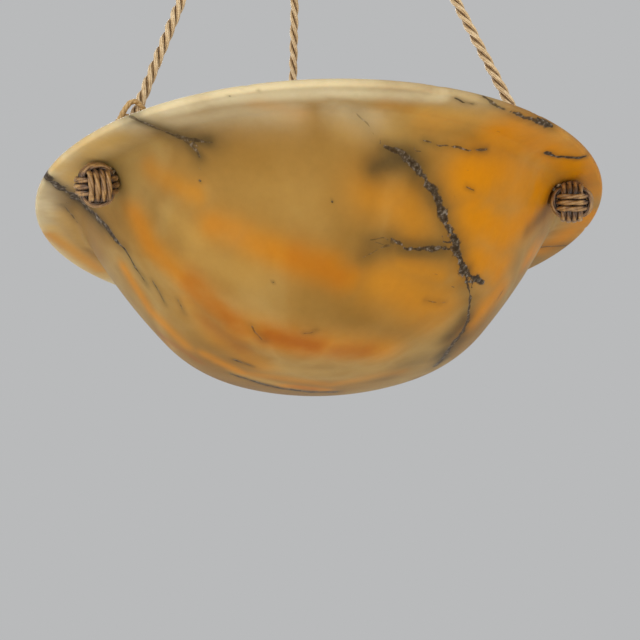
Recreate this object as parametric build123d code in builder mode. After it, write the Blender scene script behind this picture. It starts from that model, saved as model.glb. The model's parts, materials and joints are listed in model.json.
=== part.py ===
"""Alabaster bowl pendant: a carved stone bowl hung by three silk ropes.

Millimetres, +Z up. The origin is on the ceiling, in the middle of the strap that is screwed to it.
"""
from build123d import *
from math import atan2, cos, degrees, hypot, pi, radians, sin, sqrt, tan
import os

os.makedirs("parts", exist_ok=True)

# ---- Driving dimensions ------------------------------------------------------------------------
ROPE_TOP_Z = -127.5       # upper end of the ropes, inside the rope cap
ROPE_TOP_H = 517.5        # the same end, above the brim
RIM_Z = ROPE_TOP_Z - ROPE_TOP_H   # top face of the brim
AZIMUTHS = {"left": 220.0, "back": 100.0, "right": 340.0}   # where the three ropes stand

# bowl, outside
RIM_R = 225.0
EDGE_T = 5.9              # thickness of the brim's edge
BRIM_W = 26.7             # flat part of the brim's underside
BRIM_SLOPE = 1.85
FOLD_R = 11.25            # concave fold under the brim
WALL_TOP_ANGLE = 60.15
WALL_R = 494.3
WALL_FOOT_ANGLE = 48.0
SHOULDER_R = 101.25
BASE_ANGLE = 19.75
# bowl, inside
STONE_T = 10.0
LIP_W = 47.0              # width of the brim's top face
LIP_R = RIM_R - LIP_W
LIP_ROUND = 3.0
EDGE_ROUND = 2.5

# ropes
ROPE_D = 8.0
ROPE_TOP_R = 9.0          # distance from the axis at the upper end
ROPE_INSET = 38.0         # from the brim's edge to where it enters the bore
ROPE_FOOT_R = RIM_R - ROPE_INSET
SEAT = 0.3                # clearance round soft pieces
# bores through the brim
HOLE_R = 8.0
HOLE_OUT = 3.0            # outside the rope's entry, because the rope leans out below
HOLE_POS = ROPE_FOOT_R + HOLE_OUT

# ball knots
KNOT_OUT = 15.0
KNOT_POS = ROPE_FOOT_R + KNOT_OUT
KNOT_DROP = 22.5
KNOT_CORD = 2.7           # cord of the windings
PITCH = 3.32              # spacing of the turns
TURNS = 4
OUTER_RUN = (3.794, 3.576)    # distance of the outer runs, in pitches: middle turns, end turns
INNER_RUN = (2.614, 2.575)    # and of the hidden inner runs
ROOF = (0.033, 0.027)         # their slant, in radians
CORNER = (1.156, 1.072)       # rounding of the turns' corners, in pitches
STEP_HALF = 1.5               # half the length over which a turn steps sideways, in pitches
STEP_ROUND = 1.5
APEX_BEND = 6                 # bend of an inner run's low roof, in pitches
BEAD_GAP = 0.3
KNOT_ROLL = {"left": 12.0, "back": 0.0, "right": 100.0}
KNOT_FRONT = {
    "left": (0.20, -0.88, -0.42),
    "back": (0.0, 0.88, -0.42),
    "right": (-0.20, -0.88, -0.42),
}

# hitches of thin cord round the ropes' feet
HITCH_D = 3.9
HITCH_H = 50.0
HITCH_LEG = 12.5          # outer leg, from the rope's axis

# ceiling strap, hook, canopy
STRAP_L, STRAP_W, STRAP_T = 80.0, 20.0, 3.0
SCREW_SPACING = 60.0
SCREW_HOLE_R = 2.5
SHANK_R = 4.0
SHANK_END = -44.0
HOOK_BAR_R = 3.0
HOOK_BEND_R = 12.0
HOOK_LOW_Z = -72.0        # centre of the bar at its lowest point
HOOK_TIP = 5.0
LOCKNUT_T = 6.0
LOCKNUT_AF = 13.0
CANOPY_R = 55.0
CANOPY_H = 26.0
CANOPY_T = 1.5
CANOPY_ROUND = 18.0
CEILING_GAP = 0.3
BORE_GAP = 0.05           # radial clearance of what slides or turns
COLLAR_R = 11.0
COLLAR_H = 8.0
THUMB_R = 1.5
THUMB_HEAD_R = 4.0
THUMB_HEAD_L = 6.0
THUMB_KNURLS = 16
THUMB_KNURL_R = 0.35
EDGE_BREAK = 1.0          # chamfer of turned edges

# ring and eye
RING_BAR_R = 2.5
RING_R = 14.5
EYE_BAR_R = 2.5
EYE_R = 8.5
LINK_GAP = 0.05

# rope cap
CAP_GAP = 1.0             # under the eye
CAP_H = 32.0
CAP_MOUTH_R = 24.0
CAP_NECK_R = 9.0
CAP_T = 2.0
BLOCK_RECESS = 1.5
BLOCK_H = 18.0
BLOCK_TAPER = 14.0
BLOCK_BORE_GAP = 0.3
EYE_SHANK_R = 3.0
EYE_NUT_T = 5.0
EYE_NUT_AF = 10.0
GRUB_R = 1.5
GRUB_PROUD = 0.5

# lamp carrier, heights from the brim
ARM_H = -104.0
ARM_R = 3.0
TIP_R = 6.0
TIP_BORE = 8.0
HUB_R = 18.0
HUB_T = 12.0
ARM_SOCKET = 9.0
NIPPLE_R = 5.0
NIPPLE_BORE = 3.5
NIPPLE_NUT_T = 3.0
NIPPLE_NUT_AF = 14.0
NIPPLE_UP = 8.0           # above the upper nut
GRIP_R = 8.0
GRIP_H = 9.0
GRIP_BORE = 3.0
# lampholder
HOLDER_R = 19.0
HOLDER_T = 1.6
HOLDER_CAP_H = 18.0
HOLDER_BODY_H = 34.0
INSERT_FLOOR = 6.0
INSERT_R = 17.0
SHELL_R = 13.7            # outside of the screw shell
SHELL_T = 0.5
SHELL_H = 20.0
CONTACT_R = 4.0
CONTACT_T = 1.2
TERMINAL_R = 1.5
TERMINAL_SPACING = 17.4
SHADE_R = 26.0
SHADE_H = 6.0
SHADE_UP = 12.0
SHADE_NOTCHES = 24
SHADE_NOTCH_R = 0.6
# lamp
BULB_R = 22.5
BULB_T = 0.8
BULB_CAP_R = 13.1
BULB_CAP_H = 18.0
BULB_CAP_T = 0.4
BULB_NECK_R = 12.2
BULB_NECK_H = 4.0         # straight neck above the cap
INSULATOR_H = 3.5
TIP_CONTACT_R = 4.5
TIP_CONTACT_T = 1.5
STEM_R = 4.0
STEM_H = 22.0
FILAMENT_D = 1.0
FILAMENT_OUT = 4.0        # beyond the stem


def finish(part, label):
    """Give a piece its name and write it."""
    part.label = label
    export_step(part, f"parts/{label}.step")


def outward(azimuth, r, z):
    """The point at radius r and height z, on the side of the given azimuth."""
    return Vector(r * cos(radians(azimuth)), r * sin(radians(azimuth)), z)


def upright(azimuth, z=0.0):
    """The upright plane through the axis: x runs outward, y runs up."""
    a = radians(azimuth)
    return Plane(origin=(0, 0, z), x_dir=(cos(a), sin(a), 0), z_dir=(sin(a), -cos(a), 0))


def corner_radii(points, share=0.45):
    """The largest tidy bend at each corner of a route."""
    radii = []
    for a, b, c in zip(points, points[1:], points[2:]):
        turn = (b - a).get_angle(c - b)
        run = min((b - a).length, (c - b).length)
        radii.append(share * run / tan(radians(turn) / 2))
    return radii


# ---- Bowl --------------------------------------------------------------------------------------
section = upright(0.0, RIM_Z)


def heading(angle):
    """A unit direction in the section, for a line that falls inward at the given angle."""
    return (-cos(radians(angle)), -sin(radians(angle)))


with BuildPart() as bowl:
    with BuildSketch(section) as bowl_sketch:
        with BuildLine() as bowl_line:
            brim_in = RIM_R - BRIM_W
            brim_z = -EDGE_T - BRIM_W * tan(radians(BRIM_SLOPE))
            Line((RIM_R, 0), (RIM_R, -EDGE_T))
            Line((RIM_R, -EDGE_T), (brim_in, brim_z))
            fold = JernArc((brim_in, brim_z), heading(BRIM_SLOPE), FOLD_R, WALL_TOP_ANGLE - BRIM_SLOPE)
            wall = JernArc(fold @ 1, heading(WALL_TOP_ANGLE), WALL_R, WALL_FOOT_ANGLE - WALL_TOP_ANGLE)
            shoulder = JernArc(wall @ 1, heading(WALL_FOOT_ANGLE), SHOULDER_R, BASE_ANGLE - WALL_FOOT_ANGLE)
            base_start = shoulder @ 1
            base_r = base_start.X / sin(radians(BASE_ANGLE))
            base_top = base_start.Y + base_r * cos(radians(BASE_ANGLE))
            bottom_z = base_top - base_r
            RadiusArc(base_start, (0, bottom_z), base_r)
            Line((0, bottom_z), (0, bottom_z + STONE_T))
            inner_base_r = base_r - STONE_T
            floor_end = (
                inner_base_r * sin(radians(BASE_ANGLE)),
                base_top - inner_base_r * cos(radians(BASE_ANGLE)),
            )
            RadiusArc((0, bottom_z + STONE_T), floor_end, -inner_base_r)
            turn_x = (wall @ 1).X - SHOULDER_R * sin(radians(WALL_FOOT_ANGLE))
            turn_z = (wall @ 1).Y + SHOULDER_R * cos(radians(WALL_FOOT_ANGLE))
            inner_turn_r = SHOULDER_R - STONE_T
            inner_foot = (
                turn_x + inner_turn_r * sin(radians(WALL_FOOT_ANGLE)),
                turn_z - inner_turn_r * cos(radians(WALL_FOOT_ANGLE)),
            )
            RadiusArc(floor_end, inner_foot, -inner_turn_r)
            rise = (cos(radians(WALL_FOOT_ANGLE)), sin(radians(WALL_FOOT_ANGLE)))
            TangentArc(inner_foot, (LIP_R, 0), tangent=rise)
            Line((LIP_R, 0), (RIM_R, 0))
        make_face()
        edge_corners = [v for v in bowl_sketch.vertices() if hypot(v.X, v.Y) > RIM_R - 0.1]
        fillet(edge_corners, EDGE_ROUND)
        lip = [v for v in bowl_sketch.vertices() if abs(v.X - LIP_R) < 0.1 and abs(v.Z - RIM_Z) < 0.1]
        fillet(lip, LIP_ROUND)
    revolve(axis=Axis.Z)
    with Locations(*[outward(a, HOLE_POS, RIM_Z) for a in AZIMUTHS.values()]):
        Hole(HOLE_R, depth=(RIM_R - LIP_R))
finish(bowl.part, "alabaster_bowl")


# ---- Ball knots ----------------------------------------------------------------------------------
def run_height(u, outer, inner, roof):
    """Height of a hidden inner run at u, in pitches: it is a shallow roof."""
    return inner / cos(roof) - abs(u) * tan(roof)


def band_points():
    """One band of the knot, in pitches: (across the turns, outward, inward side)."""
    places = [i - (TURNS - 1) / 2 for i in range(TURNS)]
    route, bends = [], []

    def add_corner(w, u, v, bend):
        route.append((w, u, v))
        bends.append(bend)

    for i, w in enumerate(places):
        kind = 0 if abs(w) < 1 else 1
        u, v, roof, bend = OUTER_RUN[kind], INNER_RUN[kind], ROOF[kind], CORNER[kind]
        side = run_height(u, u, v, roof)
        tail = u - bend - KNOT_CORD / PITCH
        if i == 0:
            route.append((w, -tail, run_height(tail, u, v, roof)))
        else:
            add_corner(w, -STEP_HALF, run_height(STEP_HALF, u, v, roof), STEP_ROUND)
        add_corner(w, -u, side, bend)
        add_corner(w, -u, -side, bend)
        add_corner(w, 0, -run_height(0, u, v, roof), APEX_BEND)
        add_corner(w, u, -side, bend)
        add_corner(w, u, side, bend)
        if i == TURNS - 1:
            route.append((w, tail, run_height(tail, u, v, roof)))
        else:
            add_corner(w, STEP_HALF, run_height(STEP_HALF, u, v, roof), STEP_ROUND)
    return route, [bend * PITCH for bend in bends]


def least_gap(wires):
    """Least gap between the cord's surfaces, along and across the bands, from points on the routes."""
    rows = []
    for number, wire in enumerate(wires):
        count = int(wire.length / 1.0)
        rows += [(number, wire.length * i / count, wire @ (i / count)) for i in range(count + 1)]
    least = 1e9
    for i, (band, along, point) in enumerate(rows):
        for other, far, place in rows[i + 1:]:
            if band == other and abs(far - along) < 4 * KNOT_CORD:
                continue
            least = min(least, (point - place).length)
    return least - KNOT_CORD


band_route, band_bends = band_points()
turned = {
    "first": lambda w, u, v: (w, v, u),
    "second": lambda w, u, v: (v, u, w),
    "third": lambda w, u, v: (u, w, v),
}
band_wires = []
with BuildPart() as fist:
    for order in turned.values():
        with BuildLine() as band_line:
            points = [Vector(*order(*p)) * PITCH for p in band_route]
            FilletPolyline(*points, radius=band_bends)
        wire = band_line.wire()
        band_wires.append(wire)
        with BuildSketch(Plane(origin=wire @ 0, z_dir=wire % 0)):
            Circle(KNOT_CORD / 2)
        sweep(path=wire)
knot_reach = max((w @ (i / 400)).length for w in band_wires for i in range(401)) + KNOT_CORD / 2
knot_hollow = min((w @ (i / 400)).length for w in band_wires for i in range(401)) - KNOT_CORD / 2
print("knot: reach", round(knot_reach, 2), "hollow", round(knot_hollow, 2))
print("knot: least gap of the windings", round(least_gap(band_wires), 2))
swept = sum(w.length for w in band_wires) * pi * KNOT_CORD**2 / 4
print("knot: volume", round(fist.part.volume, 1), "section times length", round(swept, 1))

with BuildPart() as bead:
    Sphere(knot_hollow - BEAD_GAP)


def knot_plane(side):
    """The knot's own plane: z faces outward and down, rolled as the knot was drawn tight."""
    centre = outward(AZIMUTHS[side], KNOT_POS, RIM_Z - KNOT_DROP)
    front = Vector(*KNOT_FRONT[side])
    across = Vector(0, 0, 1).cross(front)
    return Plane(origin=centre, x_dir=across, z_dir=front).rotated((0, 0, KNOT_ROLL[side]))


for side in AZIMUTHS:
    place = knot_plane(side).location
    with BuildPart() as knot:
        with Locations(place):
            add(fist.part)
    finish(knot.part, f"knot_{side}")
    with BuildPart() as knot_core:
        with Locations(place):
            add(bead.part)
    finish(knot_core.part, f"knot_core_{side}")


# ---- Ropes ---------------------------------------------------------------------------------------
rope_rise = Vector(ROPE_TOP_R - ROPE_FOOT_R, ROPE_TOP_H).normalized()
rope_out = Vector(rope_rise.Y, -rope_rise.X)
knot_centre = Vector(KNOT_POS, -KNOT_DROP)
to_knot = (knot_centre - Vector(ROPE_FOOT_R, 0)).normalized()
rope_end = knot_centre - to_knot * (knot_reach + SEAT)

for side, azimuth in AZIMUTHS.items():
    stations = [Vector(ROPE_TOP_R, ROPE_TOP_H), Vector(ROPE_FOOT_R, 0), rope_end]
    points = [outward(azimuth, p.X, RIM_Z + p.Y) for p in stations]
    radii = corner_radii(points)
    with BuildPart() as rope:
        with BuildLine() as rope_line:
            FilletPolyline(*points, radius=radii)
        wire = rope_line.wire()
        with BuildSketch(Plane(origin=wire @ 0, z_dir=wire % 0)):
            Circle(ROPE_D / 2)
        sweep(path=wire)
    print("rope", side, "length", round(wire.length, 1), "bends", [round(r, 1) for r in radii])
    finish(rope.part, f"rope_{side}")


# ---- Hitches ---------------------------------------------------------------------------------------
def beside_rope(azimuth, out, across, height):
    """A point beside a rope: outward from its axis, across, and at a height above the brim."""
    foot = Vector(ROPE_FOOT_R, 0) + rope_rise * (height / rope_rise.Y) + rope_out * out
    flat = outward(azimuth, foot.X, RIM_Z + foot.Y)
    return flat + outward(azimuth + 90, across, 0)


wrap_r = ROPE_D / 2 + SEAT + HITCH_D / 2
leg_foot = ROPE_D / 2 + 2 * SEAT + HITCH_D
hitch_route = [
    (leg_foot, 0, 2.0),
    (HITCH_LEG, 0, HITCH_H - 6),
    (wrap_r + 2.5, wrap_r, HITCH_H + 6),
    (-wrap_r, wrap_r, HITCH_H),
    (-wrap_r, -wrap_r, HITCH_H - 2),
    (wrap_r + 3.5, -wrap_r, HITCH_H - 3),
    (wrap_r + 3.0, -wrap_r, HITCH_H - 20),
]
hitch_bends = [6.0, 5.0, wrap_r, wrap_r, 4.5]

for side, azimuth in AZIMUTHS.items():
    points = [beside_rope(azimuth, *p) for p in hitch_route]
    with BuildPart() as hitch:
        with BuildLine() as hitch_line:
            FilletPolyline(*points, radius=hitch_bends)
        wire = hitch_line.wire()
        with BuildSketch(Plane(origin=wire @ 0, z_dir=wire % 0)):
            Circle(HITCH_D / 2)
        sweep(path=wire)
    finish(hitch.part, f"hitch_{side}")

# ---- Ceiling strap, hook and canopy ------------------------------------------------------------------
with BuildPart() as strap:
    with BuildSketch(Plane.XY):
        SlotOverall(STRAP_L, STRAP_W)
        with GridLocations(SCREW_SPACING, 0, 2, 1):
            Circle(SCREW_HOLE_R, mode=Mode.SUBTRACT)
        Circle(SHANK_R, mode=Mode.SUBTRACT)
    extrude(amount=-STRAP_T)
finish(strap.part, "ceiling_plate")

bend_top = HOOK_LOW_Z + HOOK_BEND_R
step_drop = bend_top - SHANK_END
step_turn = 2 * degrees(atan2(HOOK_BEND_R, -step_drop))
step_r = HOOK_BEND_R / 2 / (1 - cos(radians(step_turn)))
with BuildPart() as hook:
    with BuildSketch(Plane.XY):
        Circle(SHANK_R)
    extrude(amount=SHANK_END)
    with BuildLine(Plane.XZ) as hook_line:
        out_bend = JernArc((0, SHANK_END), (0, -1), step_r, step_turn)
        back_bend = JernArc(out_bend @ 1, out_bend % 1, step_r, -step_turn)
        bowl_bend = JernArc(back_bend @ 1, (0, -1), HOOK_BEND_R, -180)
        Line(bowl_bend @ 1, (bowl_bend @ 1) + Vector(0, HOOK_TIP))
    hook_wire = hook_line.wire()
    with BuildSketch(Plane.XY.offset(SHANK_END)):
        Circle(HOOK_BAR_R)
    sweep(path=hook_wire)
    with Locations(hook_wire @ 1):
        Sphere(HOOK_BAR_R)
finish(hook.part, "ceiling_hook")

with BuildPart() as locknut:
    with BuildSketch(Plane.XY.offset(-STRAP_T)):
        RegularPolygon(LOCKNUT_AF / 2, 6, major_radius=False)
        Circle(SHANK_R, mode=Mode.SUBTRACT)
    extrude(amount=-LOCKNUT_T)
finish(locknut.part, "hook_locknut")

canopy_base = -CEILING_GAP - CANOPY_H
with BuildPart() as canopy:
    with BuildSketch(Plane.XZ):
        with BuildLine():
            top = -CEILING_GAP
            Polyline((0, canopy_base), (0, top), (CANOPY_R, top), (CANOPY_R, canopy_base + CANOPY_ROUND))
            RadiusArc(
                (CANOPY_R, canopy_base + CANOPY_ROUND), (CANOPY_R - CANOPY_ROUND, canopy_base), CANOPY_ROUND
            )
            Line((CANOPY_R - CANOPY_ROUND, canopy_base), (0, canopy_base))
        make_face()
    revolve(axis=Axis.Z)
    offset(amount=-CANOPY_T, openings=canopy.faces().sort_by(Axis.Z)[-1])
    with Locations((0, 0, canopy_base + CANOPY_T)):
        Hole(SHANK_R + BORE_GAP, depth=2 * CANOPY_T)
finish(canopy.part, "canopy")

collar_top = canopy_base - CEILING_GAP
collar_mid = collar_top - COLLAR_H / 2
with BuildPart() as collar:
    with BuildSketch(Plane.XY.offset(collar_top)):
        Circle(COLLAR_R)
        Circle(SHANK_R + BORE_GAP, mode=Mode.SUBTRACT)
    extrude(amount=-COLLAR_H)
    chamfer(collar.edges().filter_by(GeomType.CIRCLE).sort_by(Axis.Z)[:2].sort_by(SortBy.LENGTH)[-1], EDGE_BREAK)
    with BuildSketch(Plane.XZ):
        with Locations((0, collar_mid)):
            Circle(THUMB_R + BORE_GAP)
    extrude(amount=COLLAR_R + 1, mode=Mode.SUBTRACT)
finish(collar.part, "canopy_collar")

thumb_start = SHANK_R + BORE_GAP
thumb_seat = COLLAR_R + CEILING_GAP
with BuildPart() as thumb:
    with BuildSketch(Plane.XZ.offset(thumb_start)):
        with Locations((0, collar_mid)):
            Circle(THUMB_R)
    extrude(amount=thumb_seat - thumb_start)
    with BuildSketch(Plane.XZ.offset(thumb_seat)):
        with Locations((0, collar_mid)):
            Circle(THUMB_HEAD_R)
            with PolarLocations(THUMB_HEAD_R, THUMB_KNURLS):
                Circle(THUMB_KNURL_R, mode=Mode.SUBTRACT)
    extrude(amount=THUMB_HEAD_L)
finish(thumb.part, "collar_screw")

# ---- Ring, eye and rope cap ----------------------------------------------------------------------------
ring_top = HOOK_LOW_Z + HOOK_BAR_R + LINK_GAP + RING_BAR_R
ring_z = ring_top - RING_R
ring_low = ring_z - RING_R
with BuildPart() as ring:
    with BuildSketch(Plane.XZ):
        with Locations((0, ring_top)):
            Circle(RING_BAR_R)
    revolve(axis=Axis((0, 0, ring_z), (1, 0, 0)))
finish(ring.part, "hanging_ring")

eye_top = ring_low + RING_BAR_R + LINK_GAP + EYE_BAR_R
eye_z = eye_top - EYE_R
cap_top = eye_z - EYE_R - EYE_BAR_R - CAP_GAP
cap_mouth = cap_top - CAP_H
block_low = cap_mouth + BLOCK_RECESS
block_top = block_low + BLOCK_H
eye_end = block_low - EYE_NUT_T - 1
with BuildPart() as eye:
    with BuildSketch(Plane.YZ):
        with Locations((0, eye_top)):
            Circle(EYE_BAR_R)
    revolve(axis=Axis((0, 0, eye_z), (0, 1, 0)))
    with BuildSketch(Plane.XY.offset(eye_end)):
        Circle(EYE_SHANK_R)
    extrude(amount=eye_z - EYE_R - eye_end)
    with BuildSketch(Plane.XY.offset(cap_top)):
        Circle(EYE_SHANK_R + 2)
    extrude(amount=CAP_GAP + EYE_BAR_R / 2)
finish(eye.part, "cap_eye")

grub_z = (block_low + ROPE_TOP_Z) / 2
slope = (ROPE_FOOT_R - ROPE_TOP_R) / ROPE_TOP_H
rope_at_grub = ROPE_TOP_R + (ROPE_TOP_Z - grub_z) * slope
grub_in = rope_at_grub + (ROPE_D / 2 + SEAT) / rope_rise.Y + GRUB_R * slope


def grub_plane(azimuth):
    """The plane of a grub screw's inner end, facing outward."""
    return Plane(origin=outward(azimuth, grub_in, grub_z), z_dir=outward(azimuth, 1, 0))


with BuildPart() as rope_cap:
    with BuildSketch(Plane.XZ):
        with BuildLine():
            Line((0, cap_mouth), (0, cap_top))
            Line((0, cap_top), (CAP_NECK_R, cap_top))
            side_curve = Spline(
                (CAP_NECK_R, cap_top),
                (CAP_MOUTH_R - 2.0, cap_mouth + 0.6 * CAP_H),
                (CAP_MOUTH_R, cap_mouth + 2),
                tangents=((1, -0.25), (0, -1)),
            )
            Line(side_curve @ 1, (CAP_MOUTH_R, cap_mouth))
            Line((CAP_MOUTH_R, cap_mouth), (0, cap_mouth))
        make_face()
    revolve(axis=Axis.Z)
    offset(amount=-CAP_T, openings=rope_cap.faces().sort_by(Axis.Z)[0])
    with Locations((0, 0, cap_top)):
        Hole(EYE_SHANK_R, depth=2 * CAP_T)
    for azimuth in AZIMUTHS.values():
        with BuildSketch(grub_plane(azimuth)):
            Circle(GRUB_R)
        extrude(amount=CAP_MOUTH_R, mode=Mode.SUBTRACT)
finish(rope_cap.part, "rope_cap")

block_r = CAP_MOUTH_R - CAP_T - SEAT
with BuildPart() as block:
    with BuildSketch(Plane.XY.offset(block_low)):
        Circle(block_r)
    extrude(amount=BLOCK_H, taper=BLOCK_TAPER)
    with Locations((0, 0, block_top)):
        Hole(EYE_SHANK_R, depth=BLOCK_H)
    for azimuth in AZIMUTHS.values():
        bore_top = outward(azimuth, ROPE_TOP_R, ROPE_TOP_Z)
        down = bore_top - outward(azimuth, ROPE_FOOT_R, RIM_Z)
        with BuildSketch(Plane(origin=bore_top + down.normalized() * SEAT, z_dir=-down)):
            Circle(ROPE_D / 2 + BLOCK_BORE_GAP)
        extrude(amount=2 * BLOCK_H, mode=Mode.SUBTRACT)
        with BuildSketch(grub_plane(azimuth)):
            Circle(GRUB_R)
        extrude(amount=CAP_MOUTH_R, mode=Mode.SUBTRACT)
finish(block.part, "cap_block")

with BuildPart() as grubs:
    for azimuth in AZIMUTHS.values():
        with BuildSketch(grub_plane(azimuth)):
            Circle(GRUB_R)
        extrude(amount=CAP_MOUTH_R + GRUB_PROUD - grub_in)
finish(grubs.part, "rope_screws")

with BuildPart() as eye_nut:
    with BuildSketch(Plane.XY.offset(block_low)):
        RegularPolygon(EYE_NUT_AF / 2, 6, major_radius=False)
        Circle(EYE_SHANK_R, mode=Mode.SUBTRACT)
    extrude(amount=-EYE_NUT_T)
finish(eye_nut.part, "eye_nut")

# ---- Lamp carrier --------------------------------------------------------------------------------------
arm_z = RIM_Z + ARM_H
hub_top = arm_z + HUB_T / 2
hub_low = arm_z - HUB_T / 2
tip_reach = turn_x + sqrt((inner_turn_r - TIP_R - SEAT) ** 2 - (ARM_H - turn_z) ** 2)
arm_start = HUB_R - ARM_SOCKET
arm_end = tip_reach - TIP_R + TIP_BORE

with BuildPart() as hub:
    with BuildSketch(Plane.XY.offset(hub_low)):
        Circle(HUB_R)
        Circle(NIPPLE_R, mode=Mode.SUBTRACT)
    extrude(amount=HUB_T)
    chamfer(hub.edges().filter_by(GeomType.CIRCLE).sort_by(SortBy.RADIUS)[-2:], EDGE_BREAK)
    for azimuth in AZIMUTHS.values():
        with BuildSketch(Plane(origin=outward(azimuth, arm_start, arm_z), z_dir=outward(azimuth, 1, 0))):
            Circle(ARM_R)
        extrude(amount=2 * ARM_SOCKET, mode=Mode.SUBTRACT)
        with Locations(outward(azimuth, arm_start + ARM_SOCKET / 2, hub_top)):
            Hole(GRUB_R, depth=HUB_T / 2)
finish(hub.part, "carrier_hub")

for side, azimuth in AZIMUTHS.items():
    along = outward(azimuth, 1, 0)
    with BuildPart() as arm:
        with BuildSketch(Plane(origin=outward(azimuth, arm_start, arm_z), z_dir=along)):
            Circle(ARM_R)
        extrude(amount=arm_end - arm_start)
    finish(arm.part, f"carrier_arm_{side}")
    with BuildPart() as arm_tip:
        with Locations(outward(azimuth, tip_reach, arm_z)):
            Sphere(TIP_R)
        with BuildSketch(Plane(origin=outward(azimuth, arm_end, arm_z), z_dir=-along)):
            Circle(ARM_R)
        extrude(amount=2 * TIP_R, mode=Mode.SUBTRACT)
    finish(arm_tip.part, f"arm_tip_{side}")

with BuildPart() as arm_screws:
    for azimuth in AZIMUTHS.values():
        with BuildSketch(Plane.XY.offset(arm_z + ARM_R)):
            with Locations(outward(azimuth, arm_start + ARM_SOCKET / 2, 0)):
                Circle(GRUB_R)
        extrude(amount=hub_top - arm_z - ARM_R)
finish(arm_screws.part, "arm_screws")

nipple_low = hub_low - NIPPLE_NUT_T - GRIP_H / 2
holder_low = hub_top + NIPPLE_NUT_T
with BuildPart() as nipple:
    with BuildSketch(Plane.XY.offset(nipple_low)):
        Circle(NIPPLE_R)
        Circle(NIPPLE_BORE, mode=Mode.SUBTRACT)
    extrude(amount=holder_low + NIPPLE_UP - nipple_low)
finish(nipple.part, "lamp_nipple")

with BuildPart() as nipple_nuts:
    for base in (hub_top, hub_low - NIPPLE_NUT_T):
        with BuildSketch(Plane.XY.offset(base)):
            RegularPolygon(NIPPLE_NUT_AF / 2, 6, major_radius=False)
            Circle(NIPPLE_R, mode=Mode.SUBTRACT)
        extrude(amount=NIPPLE_NUT_T)
finish(nipple_nuts.part, "nipple_nuts")

grip_top = hub_low - NIPPLE_NUT_T
with BuildPart() as grip:
    with BuildSketch(Plane.XY.offset(grip_top - GRIP_H)):
        Circle(GRIP_R)
    extrude(amount=GRIP_H)
    with Locations((0, 0, grip_top)):
        Hole(NIPPLE_R, depth=GRIP_H / 2)
        Hole(GRIP_BORE, depth=2 * GRIP_H)
    fillet(grip.edges().filter_by(GeomType.CIRCLE).group_by(Axis.Z)[0].sort_by(SortBy.RADIUS)[-1:], 1.5)
finish(grip.part, "cord_grip")

# ---- Lampholder ----------------------------------------------------------------------------------------
body_low = holder_low + HOLDER_CAP_H
with BuildPart() as holder_cap:
    with BuildSketch(Plane.XZ):
        with BuildLine():
            Line((0, holder_low), (HOLDER_R - HOLDER_CAP_H / 2, holder_low))
            RadiusArc(
                (HOLDER_R - HOLDER_CAP_H / 2, holder_low),
                (HOLDER_R, holder_low + HOLDER_CAP_H / 2),
                -HOLDER_CAP_H / 2,
            )
            Line((HOLDER_R, holder_low + HOLDER_CAP_H / 2), (HOLDER_R, body_low))
            Line((HOLDER_R, body_low), (0, body_low))
            Line((0, body_low), (0, holder_low))
        make_face()
    revolve(axis=Axis.Z)
    offset(amount=-HOLDER_T, openings=holder_cap.faces().sort_by(Axis.Z)[-1])
    with Locations((0, 0, holder_low + HOLDER_T)):
        Hole(NIPPLE_R, depth=2 * HOLDER_T)
finish(holder_cap.part, "lampholder_cap")

with BuildPart() as holder_body:
    with BuildSketch(Plane.XY.offset(body_low)):
        Circle(HOLDER_R)
        Circle(INSERT_R, mode=Mode.SUBTRACT)
    extrude(amount=HOLDER_BODY_H)
    mouth_edges = holder_body.edges().filter_by(GeomType.CIRCLE).group_by(Axis.Z)[-1]
    fillet(mouth_edges.sort_by(SortBy.RADIUS)[-1:], EDGE_BREAK)
finish(holder_body.part, "lampholder_body")

insert_low = body_low
well_low = insert_low + INSERT_FLOOR
with BuildPart() as insert:
    with BuildSketch(Plane.XY.offset(insert_low)):
        Circle(INSERT_R)
    extrude(amount=INSERT_FLOOR + SHELL_H)
    with Locations((0, 0, well_low + SHELL_H)):
        Hole(SHELL_R, depth=SHELL_H)
    with BuildSketch(Plane.XY.offset(insert_low)):
        with GridLocations(TERMINAL_SPACING, 0, 2, 1):
            Circle(TERMINAL_R)
    extrude(amount=INSERT_FLOOR / 2, mode=Mode.SUBTRACT)
finish(insert.part, "lampholder_insert")

with BuildPart() as thread_shell:
    with BuildSketch(Plane.XY.offset(well_low)):
        Circle(SHELL_R)
        Circle(SHELL_R - SHELL_T, mode=Mode.SUBTRACT)
    extrude(amount=SHELL_H)
finish(thread_shell.part, "thread_shell")

with BuildPart() as contact:
    with BuildSketch(Plane.XY.offset(well_low)):
        Circle(CONTACT_R)
    extrude(amount=CONTACT_T)
finish(contact.part, "centre_contact")

with BuildPart() as terminals:
    with BuildSketch(Plane.XY.offset(insert_low - 2)):
        with GridLocations(TERMINAL_SPACING, 0, 2, 1):
            Circle(TERMINAL_R + 1)
    extrude(amount=2)
    with BuildSketch(Plane.XY.offset(insert_low)):
        with GridLocations(TERMINAL_SPACING, 0, 2, 1):
            Circle(TERMINAL_R)
    extrude(amount=INSERT_FLOOR / 2)
finish(terminals.part, "terminal_screws")

with BuildPart() as shade_ring:
    with BuildSketch(Plane.XY.offset(body_low + SHADE_UP)):
        Circle(SHADE_R)
        Circle(HOLDER_R + BORE_GAP, mode=Mode.SUBTRACT)
        with PolarLocations(SHADE_R, SHADE_NOTCHES):
            Circle(SHADE_NOTCH_R, mode=Mode.SUBTRACT)
    extrude(amount=SHADE_H)
finish(shade_ring.part, "shade_ring")

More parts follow.
